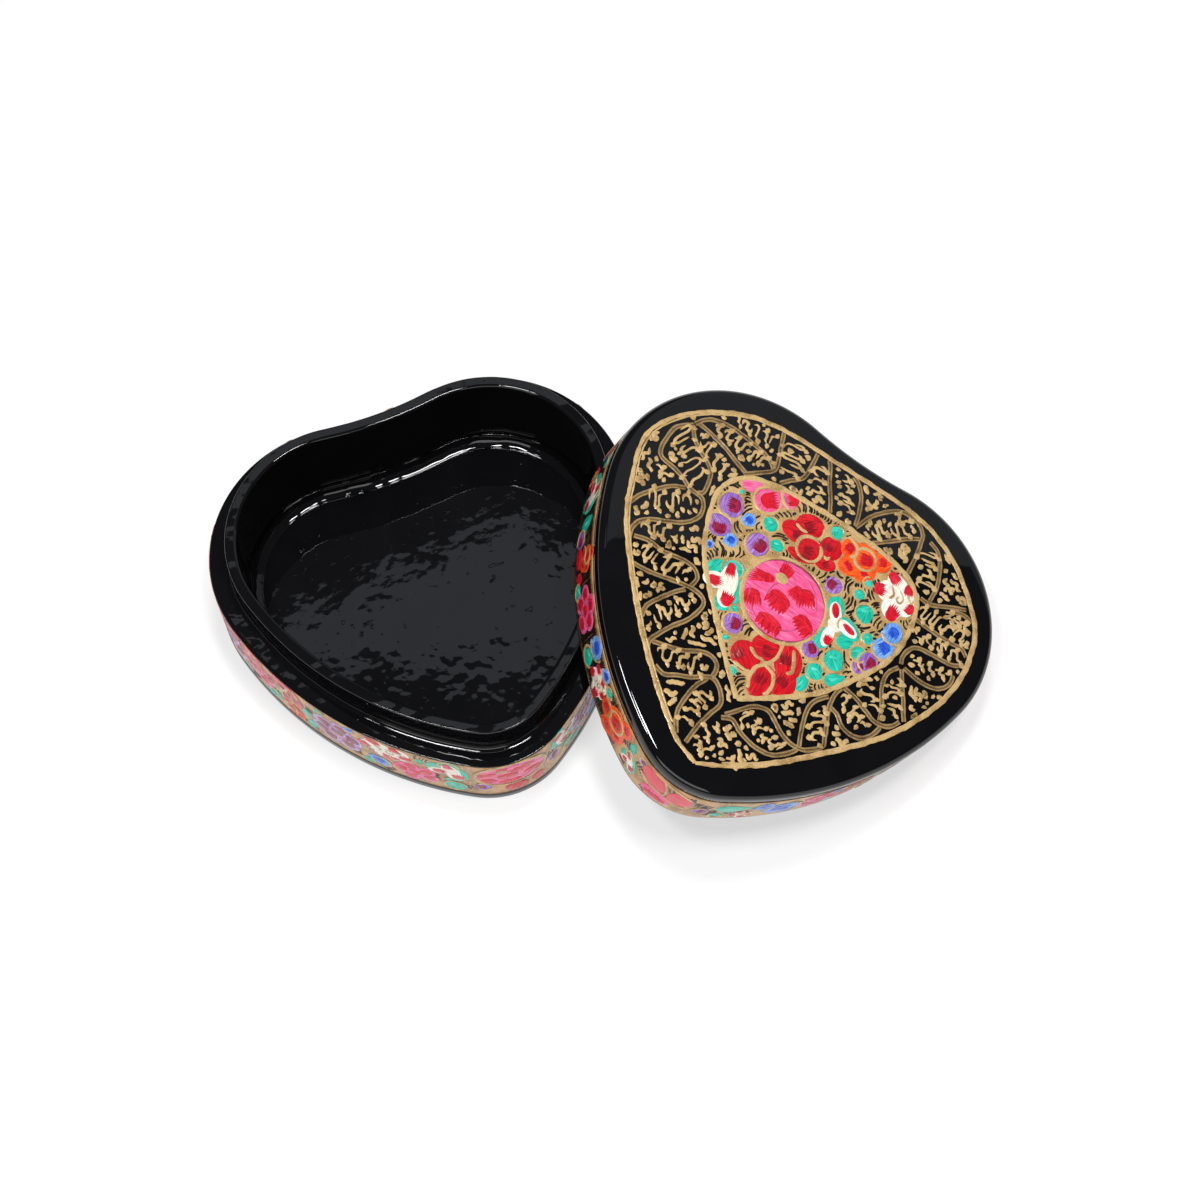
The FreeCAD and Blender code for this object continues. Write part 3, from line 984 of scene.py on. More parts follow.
def scribble(painting, start, end, swing):
    """A gold stem of rounded, uneven meanders with a leaf at each turn, broken here and there."""
    r = painting.random
    start, end = np.array(start), np.array(end)
    length = np.linalg.norm(end - start)
    ahead = (end - start) / length
    side = np.array([-ahead[1], ahead[0]])
    turns = max(3, round(length / STEM_TURN))
    heights = [swing * r.uniform(0.45, 1.5) for _ in range(turns + 1)]
    drifts = [r.uniform(-0.45, 0.45) for _ in range(turns + 1)]
    phase = np.arange(0, turns, 0.25)
    across = np.sin(np.pi * phase) * np.interp(phase, range(turns + 1), heights)
    along = phase * length / turns - 0.27 * np.sin(2 * np.pi * phase)
    along = along + np.interp(phase, range(turns + 1), drifts)
    along = along + across * r.uniform(-0.35, 0.35)
    points = start + np.outer(along, ahead) + np.outer(across, side)
    first = 0
    while first < len(points) - 2:
        last = first + r.randint(4, 13)
        piece = points[first:max(last, first + 3)]
        painting.press("gold", piece, painting.near(STEM_WIDTH, 0.2), OUTLINE)
        first = last + r.randint(0, 2)
    for turn in range(turns):
        root = points[4 * turn + 2]
        lean = ahead * r.uniform(0.3, 0.9) + side * (1 if turn % 2 == 0 else -1)
        tip = root + lean * LEAF_LENGTH
        if distance(tip, BORDERS) > LEAF_ROOM:
            leaf = (root, (root + tip) / 2 + ahead * 0.18, tip)
            painting.line("gold", leaf, painting.near(LEAF_WIDTH, 0.2), OUTLINE, step=0.3, ends=0.9)


def distance(spot, places):
    """How far a spot is from the nearest of the places."""
    return np.sqrt(((places - spot)**2).sum(axis=1).min())


def fill_band(painting):
    """Short wavering gold strokes that grow wherever the band between the outlines still has room."""
    r = painting.random
    drawn = [points[:, :2] for strokes in painting.strokes.values() for points, _ in strokes]
    taken = np.concatenate(drawn + [BORDERS])
    match = np.linspace(0, len(INNER_LINE) - 1, len(OUTER_LINE)).round().astype(int)
    for tries, shortest, longest, room in FILL_PASSES:
        for _ in range(tries):
            k = r.randrange(len(OUTER_LINE))
            spot = OUTER_LINE[k] + (INNER_LINE[match[k]] - OUTER_LINE[k]) * r.uniform(0.04, 0.96)
            heading, swing, phase = r.uniform(0, 2 * math.pi), r.uniform(0.5, 1.3), r.uniform(0, 6)
            line = []
            while spot is not None and len(line) < longest and distance(spot, taken) > room:
                line.append(spot)
                bend = heading + swing * math.sin(phase + 1.05 * len(line))
                ahead = [spot + FILL_STEP * ray(bend + turn) for turn in FILL_TURNS]
                spot = next((place for place in ahead if distance(place, taken) > room), None)
            if len(line) >= shortest:
                painting.press("gold", line, painting.near(FILL_WIDTH, 0.25), OUTLINE)
                taken = np.concatenate([taken, line])


def inside(spot, outline):
    """Whether a spot lies within a closed outline, from the turns seen from it."""
    x, y = (outline - spot).T
    next_x, next_y = np.roll(x, -1), np.roll(y, -1)
    turns = np.arctan2(x * next_y - next_x * y, x * next_x + y * next_y)
    return abs(turns.sum()) > math.pi


def rib_rays(r):
    """Where the ribs may run: rays out of each flower, and in from the border of the medallion."""
    rays = []
    for _, x, y, size, *_ in MEDALLION_FLOWERS:
        count = round(2 * math.pi * (size + 1) / RIB_PITCH)
        length = (1 - RIB_START) * size + RIB_LENGTH
        for k in range(count):
            out = ray(2 * math.pi * k / count + r.uniform(-0.03, 0.03))
            rays.append((np.array([x, y]) + out * RIB_START * size, out, length))
    along = np.gradient(INNER_LINE, axis=0)
    pitch = max(1, round(RIB_PITCH / np.linalg.norm(along, axis=1).mean()))
    for spot, (run, rise) in zip(INNER_LINE[::pitch], along[::pitch]):
        inwards = np.array([-rise, run]) / math.hypot(run, rise)
        if not inside(spot + inwards, INNER_LINE):
            inwards = -inwards
        rays.append((spot + inwards * BORDER_GAP, inwards, BORDER_RIB))
    return rays


def ribs(painting):
    """Dark ribs over the gold left bare between the petals, like combs round each flower."""
    r = painting.random
    covers = [(points[:, :2], widths / 2) for strokes in painting.strokes.values()
              for points, widths in strokes if points[0, 2] < PETAL_MOST]
    spots = np.concatenate([points for points, _ in covers])
    reaches = np.concatenate([reach for _, reach in covers])
    taken = INNER_LINE
    for start, way, length in rib_rays(r):
        near = np.linalg.norm(spots - start, axis=1) - reaches < length + 1
        line = []
        for out in np.arange(0, length, RIB_STEP):
            spot = start + out * way
            gaps = np.linalg.norm(spots[near] - spot, axis=1) - reaches[near]
            if gaps.min(initial=RIM + 1) > RIM and distance(spot, taken) > RIB_ROOM:
                line.append(spot)
            elif len(line) > 3:
                break
            else:
                line = []
        if len(line) > 2 and inside(line[0], INNER_LINE):
            bow = np.array([way[1], -way[0]]) * RIB_BOW * len(line) * r.uniform(0.2, 0.8)
            points = (line[0], line[len(line) // 2] + bow, line[-1])
            painting.line("ink", points, painting.near(RIB_WIDTH, 0.12), HATCH, step=0.4, ends=0.2)
            taken = np.concatenate([taken, line])


def scrolled_band(painting):
    """Loops of a double gold line between the outlines, and leafy gold strokes in the cells."""
    for points in LOOPS:
        loop = through(points, 0.5)
        painting.line("dull_gold", loop, BED_WIDTH, LOOP_BED)
        ahead = np.gradient(loop, axis=0)
        across = np.column_stack([-ahead[:, 1], ahead[:, 0]]) / np.linalg.norm(ahead, axis=1)[:, None]
        for offset in (-LOOP_OFFSET, LOOP_OFFSET):
            painting.line("loop_gold", loop + across * offset, LOOP_WIDTH, LOOP_LINE)
    for x, y, far_x, far_y, swing in WAVES:
        scribble(painting, (x, y), (far_x, far_y), swing)
    fill_band(painting)
    painting.line("gold", OUTER_LINE, OUTER_WIDTH, OUTLINE)
    painting.line("gold", SECOND_LINE, SECOND_WIDTH, OUTLINE)
    painting.line("gold", INNER_LINE, INNER_WIDTH, OUTLINE)


def lid_top_painting():
    painting = Painting(TOP_SEED)
    scrolled_band(painting)
    for motif, *shape in MEDALLION_FLOWERS:
        motif(Motif(painting, *shape))
    ribs(painting)
    return painting


# Flower bands round the tray and the lid; places are counted from the tip, to the left side

# Flowers in front: motif, place along the band, height, size, turn in degrees and squash
TRAY_FRONT = (
    (lily, -12.2, 15.4, 5.4, 180, 0.92), (bud, -8.8, 10.8, 2.3), (teal_dot, -13.8, 7.8, 1.8),
    (violet_bloom, -20.5, 12.0, 5.4), (teal_leaf, -17.4, 5.4, 2.2, 20), (blue_blossom, -24.6, 6.6, 2.6),
    (rose, 2.7, 14.5, 8.3, 0, 0.72), (twin_petals, 0.4, 5.6, 3.3), (bud, 9.4, 8.0, 2.1, 200),
    (lily, 17.2, 15.4, 5.8, 0, 0.9), (teal_dot, 16.0, 6.2, 2.5), (teal_dot, 17.6, 9.5, 1.0),
    (pink_bloom, 25.2, 8.6, 6.1, 40, 0.9), (teal_dot, 24.0, 16.8, 1.2),
    (white_blossom, 32.4, 15.9, 7.6, 0, 0.62), (teal_dot, 30.2, 13.4, 1.1),
    (blue_blossom, 34.4, 7.6, 2.9, 90), (teal_dot, 37.2, 5.0, 1.5), (violet_bloom, 45.3, 11.6, 7.4, 15),
    (blue_blossom, 41.2, 19.0, 1.4), (teal_dot, 49.6, 18.8, 1.3), (teal_leaf, 53.6, 12.0, 2.3, 80),
    (teal_leaf, 52.6, 7.2, 2.3, 60), (teal_dot, 52.6, 4.6, 1.0), (marigold, 58.6, 7.0, 3.8, 90),
    (curl_poppy, 60.0, 15.2, 5.4), (teal_leaf, 63.2, 7.6, 2.2, 100), (teal_leaf, 66.0, 5.0, 2.0, 70),
    (pink_bloom, 69.6, 11.6, 6.2, 10), (curl_poppy, 71.5, 18.0, 4.6, 30, 0.55),
    (teal_leaf, 74.6, 5.2, 2.2, 110), (violet_bloom, 80.0, 11.4, 6.8, 0, 1.05), (bud, 85.8, 6.0, 2.4),
    (ring_poppy, 91.2, 12.0, 7.2, 60, 1.1), (edge_blush, 60.6, 20.4, 3.4), (edge_blush, 70.6, 20.4, 3.0),
    (edge_blush, 78.0, 20.4, 2.6), (edge_blush, 85.5, 20.4, 3.2), (edge_blush, 93.5, 20.4, 3.6),
    (edge_blush, 101.5, 20.4, 3.4), (teal_leaf, 101.6, 6.4, 2.4, 70),
    (blue_blossom, 101.4, 12.0, 2.6, 40), (bud, 102.8, 16.8, 2.2),
)
LID_FRONT = (
    (pink_bloom, -37.0, 6.8, 5.4), (blue_blossom, -27.6, 6.0, 4.4, 100), (blue_blossom, -22.4, 8.8, 2.6),
    (teal_leaf, -15.2, 8.0, 4.2, -6), (teal_dot, -12.6, 3.2, 1.5), (white_blossom, -18.6, 3.6, 2.8),
    (bud, -8.4, 5.2, 1.9), (split_bloom, 1.6, 7.2, 6.4), (teal_leaf, 13.0, 9.6, 2.0, 80),
    (lily, 11.8, 4.6, 3.2, 20), (bud, 9.4, 10.6, 1.1), (marigold, 20.2, 6.4, 5.7, 20),
    (white_blossom, 30.2, 5.2, 4.5, 10), (blue_blossom, 30.0, 10.6, 2.0), (teal_dot, 26.4, 9.6, 1.3),
    (blue_blossom, 37.0, 9.4, 3.1, 20), (teal_dot, 37.0, 3.8, 2.3), (pink_bloom, 46.8, 6.6, 5.9, 20),
    (teal_dot, 52.2, 2.8, 1.8), (marigold, 58.4, 8.6, 3.7, 60), (twin_petals, 58.8, 3.2, 2.9),
    (bud, 64.4, 3.6, 2.4), (teal_leaf, 67.6, 6.4, 3.4, 80), (lily, 75.0, 7.0, 5.4),
    (curl_poppy, 80.6, 3.6, 2.9), (teal_dot, 82.4, 10.4, 1.9), (bud, 87.4, 6.0, 3.2),
    (blue_blossom, 91.8, 7.4, 3.4, 80), (teal_leaf, 95.0, 4.0, 2.4),
)

# Flowers that take turns on the far sides, and small ones between them
BAND_ORDER = (rose, lily, curl_poppy, violet_bloom, marigold,
              white_blossom, pink_bloom, ring_poppy, trefoil, peony)
FILLERS = (teal_leaf, teal_dot, bud, teal_leaf, blue_blossom, teal_leaf)
BAND_SIZE = 7.2
BAND_PITCH = 12.0

# Room before and after the flowers in front
ROOM_BEFORE, ROOM_AFTER = 4.0, 7.0

# Dark strokes: how far apart their groups are, how far from the band's edges, and how close and how wide
# the strokes of painted shade are
HATCH_PITCH = 4.0
HATCH_MARGIN = 1.5
SHADE_STROKE_PITCH, SHADE_STROKE_WIDTH = 0.55, 0.66

# Seeds of the paintings' random draws
TRAY_SEED, LID_SEED, TOP_SEED = 21, 33, 7

# Lowest and highest place of each flower band, how far its gold ground goes beyond them, and the run
# of the lid's band that is darkened with painted shade
TRAY_BAND, TRAY_MARGIN = (3.2, 20.8), (-0.5, 0.1)
LID_BAND, LID_MARGIN = (0.9, 12.6), (-0.3, 0.3)
LID_PAINTED_SHADE = (17.0, 97.0)


def painted_shade_strokes(painting, start, end, low, high):
    """Painted shade: close dark strokes over the gold from one place to another, which leave a gold edge
    above.
    """
    r = painting.random
    for k in range(round((end - start) / SHADE_STROKE_PITCH)):
        x = GIRTH / MM - start - SHADE_STROKE_PITCH * k
        sway = r.uniform(-0.3, 0.3)
        points = ((x, low), (x + sway, (low + high) / 2), (x, high - r.uniform(0.7, 1.2)))
        painting.line("ink", points, SHADE_STROKE_WIDTH, HATCH, step=1.2)


def band_painting(seed, low, high, front):
    """Flowers side by side round a wall: the front ones in their places, the others in turn."""
    painting = Painting(seed)
    r = painting.random
    girth = GIRTH / MM
    tall = high - low
    middle = (low + high) / 2
    for motif, place, *shape in front:
        motif(Motif(painting, girth - place, *shape))
    first = min(place for _, place, *_ in front) - ROOM_BEFORE
    last = max(place for _, place, *_ in front) + ROOM_AFTER
    count = round((girth - last + first) / BAND_PITCH)
    for k in range(count):
        place = last + (girth - last + first) * (k + 0.5) / count
        motif = BAND_ORDER[(k * 3 + seed) % len(BAND_ORDER)]
        size = min(BAND_SIZE, tall * 0.47) * r.uniform(0.94, 1.04)
        height = middle + r.choice((-1, 1)) * max(0.0, tall / 2 - size) * r.uniform(0.4, 1.0)
        motif(Motif(painting, girth - place, height, size, r.uniform(0, 360)))
        between = girth - place - BAND_PITCH / 2
        for side in (-1, 1):
            small = r.uniform(1.6, 2.4)
            x = between + r.uniform(-1.2, 1.2)
            filler = r.choice(FILLERS)
            filler(Motif(painting, x, middle + side * (tall / 2 - small), small, r.uniform(0, 360)))
        teal_leaf(Motif(painting, between, middle + r.uniform(-2, 2), 1.9, r.uniform(60, 120)))
    for k in range(round(girth / HATCH_PITCH)):
        x = k * HATCH_PITCH + r.uniform(-1, 1)
        y = r.uniform(low + HATCH_MARGIN, high - HATCH_MARGIN)
        hatching(painting, x, y, r.uniform(0, 180), r.randint(3, 5), r.uniform(1.6, 2.6))
    return painting


# Laying the strokes on a surface

# Half the thickness of a stroke, how far its edges stray, and how finely
STROKE_FILM = 0.028 * MM
STROKE_WOBBLE = 0.26 * MM
WOBBLE_SCALE = 640.0

# Height of the brush marks in the paint
PAINT_RELIEF = 0.03 * MM

# Thickness of the gold grounds, and how deep the bands' reach into the walls
GROUND_FILM = 0.012 * MM
GROUND_ROOT = 0.2 * MM


def stroke_tree():
    """Sweeps each stroke into a thin lens of paint and lays it on the lid's top or round a wall."""
    tree = bpy.data.node_groups.new("brush_strokes", "GeometryNodeTree")
    nodes = Nodes(tree)
    sockets = {}
    for name, kind in (("Strokes", "Object"), ("Outline", "Object"), ("Profile", "Object"),
                       ("On Wall", "Bool"), ("Film", "Float"), ("Wobble", "Float"),
                       ("Wobble Scale", "Float"), ("Seed", "Int"), ("Top", "Float"), ("Fall", "Float"),
                       ("Paint", "Material")):
        sockets[name] = tree.interface.new_socket(name, in_out="INPUT", socket_type="NodeSocket" + kind)
    tree.interface.new_socket("Geometry", in_out="OUTPUT", socket_type="NodeSocketGeometry")
    group = tree.nodes.new("NodeGroupInput")
    given = {name: Value(nodes, group.outputs[name]) for name in sockets}

    def part(value, axis):
        return nodes.add("ShaderNodeSeparateXYZ", {"Vector": value}, output=axis)

    def join(x, y, z):
        return nodes.add("ShaderNodeCombineXYZ", {"X": x, "Y": y, "Z": z})

    def held(obj):
        return nodes.add("GeometryNodeObjectInfo", {"Object": given[obj]}, output="Geometry")

    def change(kind, geometry, **inputs):
        return nodes.add("GeometryNode" + kind, {"Geometry": geometry, **inputs})

    def keep(geometry, name, value, data_type="FLOAT", domain="POINT"):
        inputs = {"Geometry": geometry, "Name": name, "Value": value}
        return nodes.add("GeometryNodeStoreNamedAttribute", inputs, data_type=data_type, domain=domain)

    def kept(name, data_type="FLOAT"):
        return nodes.add("GeometryNodeInputNamedAttribute", {"Name": name}, data_type=data_type)

    position = nodes.add("GeometryNodeInputPosition")
    radius = nodes.add("GeometryNodeInputRadius")
    shade = nodes.add("FunctionNodeRandomValue", {"Seed": given["Seed"]}, output=1, data_type="FLOAT")
    curves = keep(held("Strokes"), "centre", position, "FLOAT_VECTOR")
    curves = keep(curves, "heading", nodes.add("GeometryNodeInputTangent"), "FLOAT_VECTOR")
    curves = keep(curves, "along", nodes.add("GeometryNodeSplineParameter", output="Length"))
    curves = keep(curves, "brush", radius)
    curves = keep(curves, "shade", shade, domain="CURVE")
    mesh = nodes.add("GeometryNodeCurveToMesh", {
        "Curve": curves, "Profile Curve": held("Profile"), "Scale": radius, "Fill Caps": True})
    centre = kept("centre", "FLOAT_VECTOR")
    offset = nodes.vector("SUBTRACT", position, centre)
    sideways = nodes.vector("CROSS_PRODUCT", (0.0, 0.0, 1.0), kept("heading", "FLOAT_VECTOR"))
    mesh = keep(mesh, "across", nodes.vector("DOT_PRODUCT", offset, sideways, output=1))
    inputs = {"Vector": position, "Scale": given["Wobble Scale"]}
    wobble = nodes.add("ShaderNodeTexNoise", inputs, output=1)
    wobble = nodes.vector("SUBTRACT", wobble, (0.5, 0.5, 0.5))
    x = part(position, "X") + part(wobble, "X") * given["Wobble"]
    y = part(position, "Y") + part(wobble, "Y") * given["Wobble"]
    z = part(centre, "Z") + part(offset, "Z") / kept("brush") * given["Film"]
    on_top = join(x, y, given["Top"] - (x * x + y * y) * given["Fall"] + z)
    outline = held("Outline")
    girth = nodes.add("GeometryNodeCurveLength", {"Curve": outline})
    inputs = {"Curves": outline, "Length": x.math("FLOORED_MODULO", girth)}
    foot = nodes.add("GeometryNodeSampleCurve", inputs, output="Position", mode="LENGTH")
    tangent = Value(nodes, foot.socket.node.outputs["Tangent"])
    outward = nodes.vector("CROSS_PRODUCT", tangent, (0.0, 0.0, 1.0))
    lifted = nodes.add("ShaderNodeVectorMath", {0: outward, "Scale": z}, operation="SCALE")
    on_wall = nodes.vector("ADD", nodes.vector("ADD", foot, lifted), join(0.0, 0.0, y))
    choice = nodes.add("GeometryNodeSwitch", {
        "Switch": given["On Wall"], "False": on_top, "True": on_wall}, input_type="VECTOR")
    mesh = change("SetPosition", mesh, Position=choice)
    for name in ("centre", "heading", "brush"):
        mesh = change("RemoveAttribute", mesh, Name=name)
    mesh = change("RealizeInstances", change("SetShadeSmooth", mesh))
    mesh = change("SetMaterial", mesh, Material=given["Paint"])
    nodes.feed(tree.nodes.new("NodeGroupOutput").inputs[0], mesh)
    return tree, {name: socket.identifier for name, socket in sockets.items()}


def poly_curve(name, lines):
    """A curve object with one straight-segment spline for each line: points, widths, closed."""
    curve = bpy.data.curves.new(name, "CURVE")
    curve.dimensions = "3D"
    for points, widths, closed in lines:
        spline = curve.splines.new("POLY")
        spline.points.add(len(points) - 1)
        spline.points.foreach_set("co", np.column_stack([points, np.ones(len(points))]).ravel())
        spline.points.foreach_set("radius", np.asarray(widths, float))
        spline.use_cyclic_u = closed
    return new_object(name, curve)


def lay_strokes(name, strokes, paint, tree, keys, outline, profile, on_wall):
    """One paint's strokes as a plain mesh on its surface."""
    origin = np.array([0.0, 0.0, 0.0] if on_wall else [*PLAN_ORIGIN, 0.0])
    lines = [((points + origin) * MM, widths * MM / 2, False) for points, widths in strokes]
    plan = poly_curve(name + "_plan", lines)
    host = new_object(name + "_host", bpy.data.meshes.new(name + "_host"))
    modifier = host.modifiers.new("strokes", "NODES")
    modifier.node_group = tree
    values = {"Strokes": plan, "Outline": outline, "Profile": profile, "On Wall": on_wall,
              "Film": STROKE_FILM, "Wobble": STROKE_WOBBLE, "Wobble Scale": WOBBLE_SCALE,
              "Seed": len(strokes), "Top": lid_top_height(0, 0),
              "Fall": LID_CROWN / (HEART_WIDTH / 2)**2, "Paint": paint}
    for key, value in values.items():
        modifier[keys[key]] = value
    mesh = bpy.data.meshes.new_from_object(host.evaluated_get(bpy.context.evaluated_depsgraph_get()))
    mesh.name = name
    for spare in (host, plan):
        bpy.data.objects.remove(spare)
    return new_object(name, mesh)


def brushed_paint(name, dark, main, light):
    """Opaque colour under varnish, streaked along the brush and a little different in each stroke."""
    finish = Finish(name)
    across = finish.attribute("across") * 4200.0
    along = finish.attribute("along") * 420.0
    shade = finish.attribute("shade")
    hair = finish.add("ShaderNodeCombineXYZ", {"X": across, "Y": along, "Z": shade * 90.0})
    streak = finish.noise(hair, 1.0, 2.0)
    pool = finish.noise(hair, 0.25, 1.0)
    colour = finish.mix(finish.step(streak, 0.30, 0.56), dark, main)
    colour = finish.mix(finish.step(streak * 0.7 + pool * 0.3 + shade * 0.12, 0.55, 0.74), colour, light)
    return finish.set(
        Base_Color=colour,
        Roughness=streak * 0.2 + 0.28,
        Normal=finish.bump(streak, PAINT_RELIEF),
        Specular_IOR_Level=0.3,
        Coat_Weight=0.35,
        Coat_Roughness=0.04,
    )


def gold_paint(name, dark, main, light, metal):
    """Shell-gold paint: fine bright grains in a warm binder, thin and darker between brush hairs."""
    finish = Finish(name)
    place = finish.coords()
    shade = finish.attribute("shade")
    grain = finish.noise(place, 2600.0, 2.0, 0.7)
    cloud = finish.noise(place, 260.0, 3.0)
    colour = finish.mix(finish.step(cloud + shade * 0.15 - 0.07, 0.32, 0.58), dark, main)
    colour = finish.mix(finish.step(grain, 0.52, 0.72), colour, light)
    return finish.set(
        Base_Color=colour,
        Metallic=finish.step(grain, 0.35, 0.7) * metal,
        Roughness=0.55 - grain * 0.25,
        Normal=finish.bump(grain, PAINT_RELIEF),
        Specular_IOR_Level=0.3,
        Coat_Weight=0.3,
        Coat_Roughness=0.06,
    )


def make_paint(name, dark, main, light, *metal):
    """A gold where a share of metal is given, or else a plain colour."""
    mix = gold_paint if metal else brushed_paint
    return mix(name + "_paint", srgb(*dark), srgb(*main), srgb(*light), *metal)


# Each paint's dark, main and light colour, as on a screen, and a gold's share of metal
LOOKS = {
    "ink": ((16, 11, 8), (26, 19, 13), (44, 33, 24)),
    "gold": ((166, 132, 80), (206, 172, 116), (238, 212, 162), 0.4),
    "loop_gold": ((128, 102, 62), (164, 134, 88), (196, 166, 116), 0.35),
    "dull_gold": ((74, 56, 32), (112, 88, 52), (150, 122, 78), 0.35),
    "pink": ((220, 66, 118), (236, 90, 144), (244, 128, 170)),
    "rose_shade": ((176, 66, 110), (204, 84, 130), (220, 106, 148)),
    "coral": ((204, 44, 62), (228, 66, 82), (240, 98, 108)),
    "crimson": ((166, 8, 30), (214, 18, 42), (230, 40, 62)),
    "scarlet": ((160, 6, 20), (204, 14, 30), (224, 30, 40)),
    "deep_red": ((112, 4, 18), (146, 6, 24), (174, 12, 30)),
    "orange": ((222, 52, 12), (242, 82, 18), (250, 118, 40)),
    "cream": ((222, 208, 186), (240, 234, 220), (250, 248, 242)),
    "teal": ((16, 150, 128), (28, 192, 162), (62, 210, 184)),
    "pale_teal": ((46, 190, 166), (78, 210, 188), (122, 224, 204)),
    "violet": ((120, 76, 156), (150, 104, 186), (180, 140, 206)),
    "lilac": ((150, 118, 180), (178, 148, 202), (204, 180, 220)),
    "maroon": ((98, 8, 36), (140, 16, 54), (168, 34, 78)),
    "sky": ((72, 122, 204), (102, 156, 224), (150, 190, 236)),
    "blue": ((20, 54, 160), (32, 82, 204), (62, 114, 220)),
    "medallion_gold": ((174, 138, 86), (206, 170, 114), (234, 204, 152), 0.3),
    "band_gold": ((158, 116, 70), (200, 156, 104), (226, 190, 140), 0.4),
}
PAINTS = {name: make_paint(name, *look) for name, look in LOOKS.items()}


def make_medallion_ground():
    """The gold film under the medallion's flowers, closed by a cone below the lid's surface."""
    rim = (INNER_LINE[:-1] + PLAN_ORIGIN) * MM
    centre = np.array(MEDALLION_MIDDLE) * MM
    shares = (1.0, 0.985, 0.8, 0.6, 0.4, 0.2)
    rows = [centre + (rim - centre) * share for share in shares]
    flat = np.concatenate(rows + [centre[None], centre[None]])
    lift = np.full(len(flat), GROUND_FILM)
    lift[:len(rim)] = 0.0
    lift[-1] = -GROUND_FILM
    verts = np.column_stack([flat, lid_top_height(flat[:, 0], flat[:, 1]) + lift])
    faces = ring_faces(len(shares), len(rim), closed=False)
    last = (len(shares) - 1) * len(rim)
    for k in range(len(rim)):
        following = (k + 1) % len(rim)
        faces.append((last + k, last + following, len(verts) - 2))
        faces.append((following, k, len(verts) - 1))
    return new_piece("lid_medallion_ground", verts, faces, PAINTS["medallion_gold"])


def make_band_ground(name, band, margin):
    """A thin gold band round the outer wall."""
    low, high = np.array(band) * MM + np.array(margin) * MM
    face = PAINT_DEPTH - GROUND_FILM
    back = PAINT_DEPTH + GROUND_ROOT
    profile = [(back, low), (face, low), (face, high), (back, high)]
    return make_ring(name, profile, PAINTS["band_gold"])


def make_paintwork():
    tree, keys = stroke_tree()
    face = np.column_stack([POINTS - NORMALS * PAINT_DEPTH, np.zeros(len(POINTS))])
    outline = poly_curve("heart_outline", [(face, np.ones(len(POINTS)), True)])
    section = ((1, 0), (0.92, 1), (0, 1), (-0.92, 1), (-1, 0), (-0.92, -1), (0, -1), (0.92, -1))
    rounded = [(x, y, 0) for x, y in section]
    profile = poly_curve("stroke_section", [(rounded, np.ones(len(section)), True)])
    lid_band = band_painting(LID_SEED, *LID_BAND, LID_FRONT)
    # Painted shade: close dark strokes over part of the lid's band
    painted_shade_strokes(lid_band, *LID_PAINTED_SHADE, *LID_BAND)
    works = (
        ("tray_band", band_painting(TRAY_SEED, *TRAY_BAND, TRAY_FRONT), "base", True),
        ("lid_band", lid_band, "lid", True),
        ("lid_top", lid_top_painting(), "lid", False),
    )
    pieces = [
        (make_band_ground("tray_band_ground", TRAY_BAND, TRAY_MARGIN), "base"),
        (make_band_ground("lid_band_ground", LID_BAND, LID_MARGIN), "lid"),
        (make_medallion_ground(), "lid"),
    ]
    for name, painting, body, on_wall in works:
        for paint, strokes in painting.strokes.items():
            piece = lay_strokes(f"{name}_{paint}", strokes, PAINTS[paint],
                                tree, keys, outline, profile, on_wall)
            pieces.append((piece, body))
    for piece, body in pieces:
        if body == "lid":
            piece.data.transform(LID_PLACE)
        dress(piece, body, "tray_paint" if body == "base" else "lid_paint")
    for spare in (outline, profile):
        bpy.data.objects.remove(spare)


make_paintwork()


# Stage

CAMERA_AZIMUTH = math.radians(-22.14)
CAMERA_ELEVATION = math.radians(66.93)
CAMERA_DISTANCE = 0.575
CAMERA_TARGET = Vector((0.0350, -0.0098, 0.0))
CAMERA_LENS, CAMERA_SENSOR = 72.2, 36.0
CAMERA_NEAR = 0.01

# White panel that gloss mirrors: its near edge, the peak, pitch and middle of its far edge, its light
PANEL_EDGE = 0.362
PANEL_PEAK = 0.425
PANEL_PITCH = 0.43
PANEL_MIDDLE = -0.034
PANEL_LIGHT = 0.66
PANEL_COLOUR = (0.88, 0.92, 1.0, 1.0)
PANEL_SOFT = 0.002

# Dimmer panel to its right, and the light of the rest of the room
SIDE_PANEL = 0.2
SIDE_LIGHT = 0.42
SIDE_SOFT = 0.02
ROOM_LIGHT = 0.07

# Half width of the floor, its colour, its share of plain white near the object, where it turns quite white
FLOOR_SIZE = 4.0
FLOOR_COLOUR = (0.92, 0.92, 0.92, 1.0)
FLOOR_WHITE = 0.6
FLOOR_FADE = (0.16, 0.5)
WHITE = (1.0, 1.0, 1.0, 1.0)

# Lamps: azimuth from the camera's, elevation, distance, width, height, power, and whether gloss shows it
LAMPS = {
    "left_lamp": (-58.0, 75.0, 0.9, 0.22, 0.07, 3.0, True),
    "right_lamp": (60.0, 80.0, 0.9, 0.18, 0.08, 3.0, True),
    "front_lamp": (-10.0, 30.0, 1.0, 1.0, 0.35, 2.6, True),
    "top_lamp": (180.0, 80.0, 0.9, 0.12, 0.12, 2.8, False),
}


def around(azimuth, elevation, distance):
    """A point seen from the camera's target at this azimuth and elevation."""
    flat = math.cos(elevation)
    ahead = Vector((math.sin(azimuth) * flat, -math.cos(azimuth) * flat, math.sin(elevation)))
    return CAMERA_TARGET + ahead * distance


def aim(obj, place):
    obj.location = place
    obj.rotation_euler = (CAMERA_TARGET - place).to_track_quat("-Z", "Y").to_euler()


def make_camera():
    camera = new_object("camera", bpy.data.cameras.new("camera"))
    camera.data.lens = CAMERA_LENS
    camera.data.sensor_width = CAMERA_SENSOR
    camera.data.clip_start = CAMERA_NEAR
    aim(camera, around(CAMERA_AZIMUTH, CAMERA_ELEVATION, CAMERA_DISTANCE))
    bpy.context.scene.camera = camera


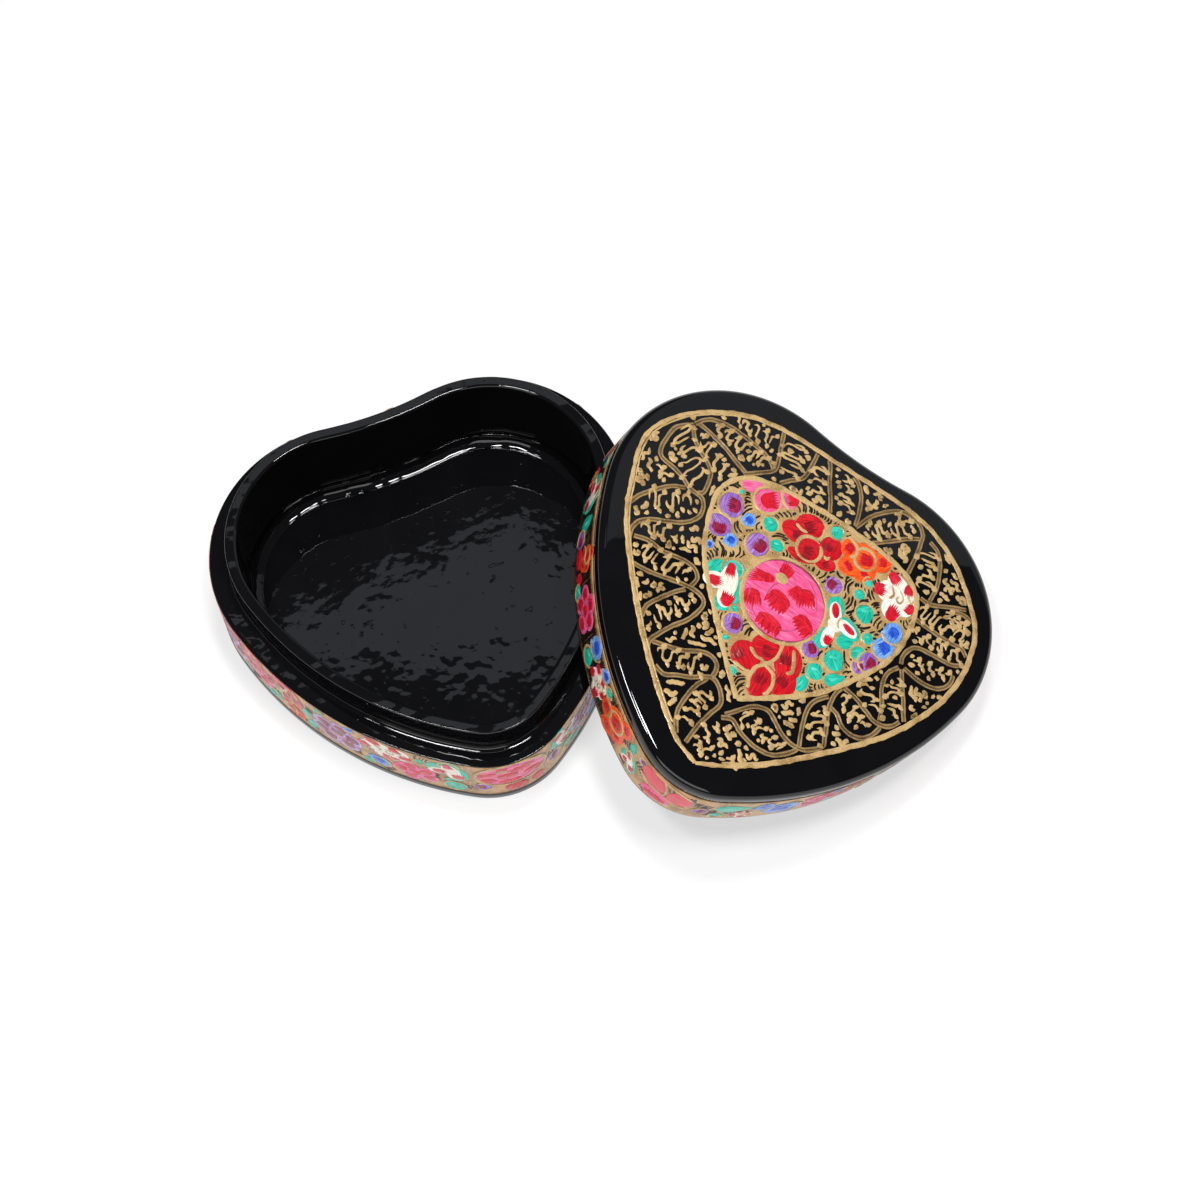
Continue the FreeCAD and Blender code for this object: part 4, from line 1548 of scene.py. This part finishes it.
def make_light(name, azimuth, elevation, distance, width, height, power, mirrored):
    """An oblong soft lamp."""
    lamp = bpy.data.lights.new(name, "AREA")
    lamp.shape = "RECTANGLE"
    lamp.size = width
    lamp.size_y = height
    lamp.energy = power
    light = new_object(name, lamp)
    light.visible_glossy = mirrored
    aim(light, around(CAMERA_AZIMUTH + math.radians(azimuth), math.radians(elevation), distance))


def make_floor():
    """A pale floor that keeps a soft shadow near the object, and is seen and mirrored as white far off."""
    mesh = bpy.data.meshes.new("floor")
    corners = [(x * FLOOR_SIZE, y * FLOOR_SIZE, 0) for x, y in ((-1, -1), (1, -1), (1, 1), (-1, 1))]
    mesh.from_pydata(corners, [], [(0, 1, 2, 3)])
    finish = Finish("white_floor")
    finish.set(Base_Color=FLOOR_COLOUR, Roughness=0.9, Specular_IOR_Level=0.0)
    direct, mirrored, through_glass = (finish.add("ShaderNodeLightPath", output=f"Is {kind} Ray")
                                       for kind in ("Camera", "Glossy", "Transmission"))
    seen = direct.most(mirrored).most(through_glass)
    glow = finish.add("ShaderNodeEmission", {"Color": WHITE, "Strength": 1.0})
    lit = Value(finish, finish.shader.outputs["BSDF"])
    away = finish.vector("LENGTH", finish.coords(), (0.0, 0.0, 0.0), output=1)
    share = finish.step(away, *FLOOR_FADE, FLOOR_WHITE, 1.0)
    mixed = finish.add("ShaderNodeMixShader", {0: seen * share, 1: lit, 2: glow})
    finish.feed(finish.tree.nodes["Material Output"].inputs["Surface"], mixed)
    mesh.materials.append(finish.material)
    floor = new_object("floor", mesh)


def make_world():
    """White panels behind the object, as seen from the camera, one gabled and one aside, in a dim room."""
    world = bpy.data.worlds.new("studio")
    world.use_nodes = True
    bpy.context.scene.world = world
    nodes = Nodes(world.node_tree)
    direction = nodes.add("ShaderNodeTexCoord", output="Generated")
    c, s = math.cos(CAMERA_AZIMUTH), math.sin(CAMERA_AZIMUTH)
    back = nodes.vector("DOT_PRODUCT", direction, (-s, c, 0.0), output=1)
    right = nodes.vector("DOT_PRODUCT", direction, (c, s, 0.0), output=1)
    aside = right - PANEL_MIDDLE
    far = back + aside.math("ABSOLUTE") * PANEL_PITCH
    near_edge = nodes.step(back, PANEL_EDGE - PANEL_SOFT, PANEL_EDGE + PANEL_SOFT)
    far_edge = nodes.step(far, PANEL_PEAK + PANEL_SOFT, PANEL_PEAK - PANEL_SOFT)
    side = nodes.step(right, SIDE_PANEL - SIDE_SOFT, SIDE_PANEL + SIDE_SOFT, 0.0, SIDE_LIGHT)
    panel = near_edge * (far_edge * PANEL_LIGHT).most(side)
    seen = nodes.add("ShaderNodeLightPath", output="Is Camera Ray")
    background = world.node_tree.nodes["Background"]
    nodes.feed(background.inputs["Color"], nodes.mix(seen, PANEL_COLOUR, WHITE))
    nodes.feed(background.inputs["Strength"], seen.most(panel.most(ROOM_LIGHT)))


make_camera()
make_floor()
make_world()
for name, lamp in LAMPS.items():
    make_light(name, *lamp)
bpy.context.scene.view_settings.view_transform = "Standard"
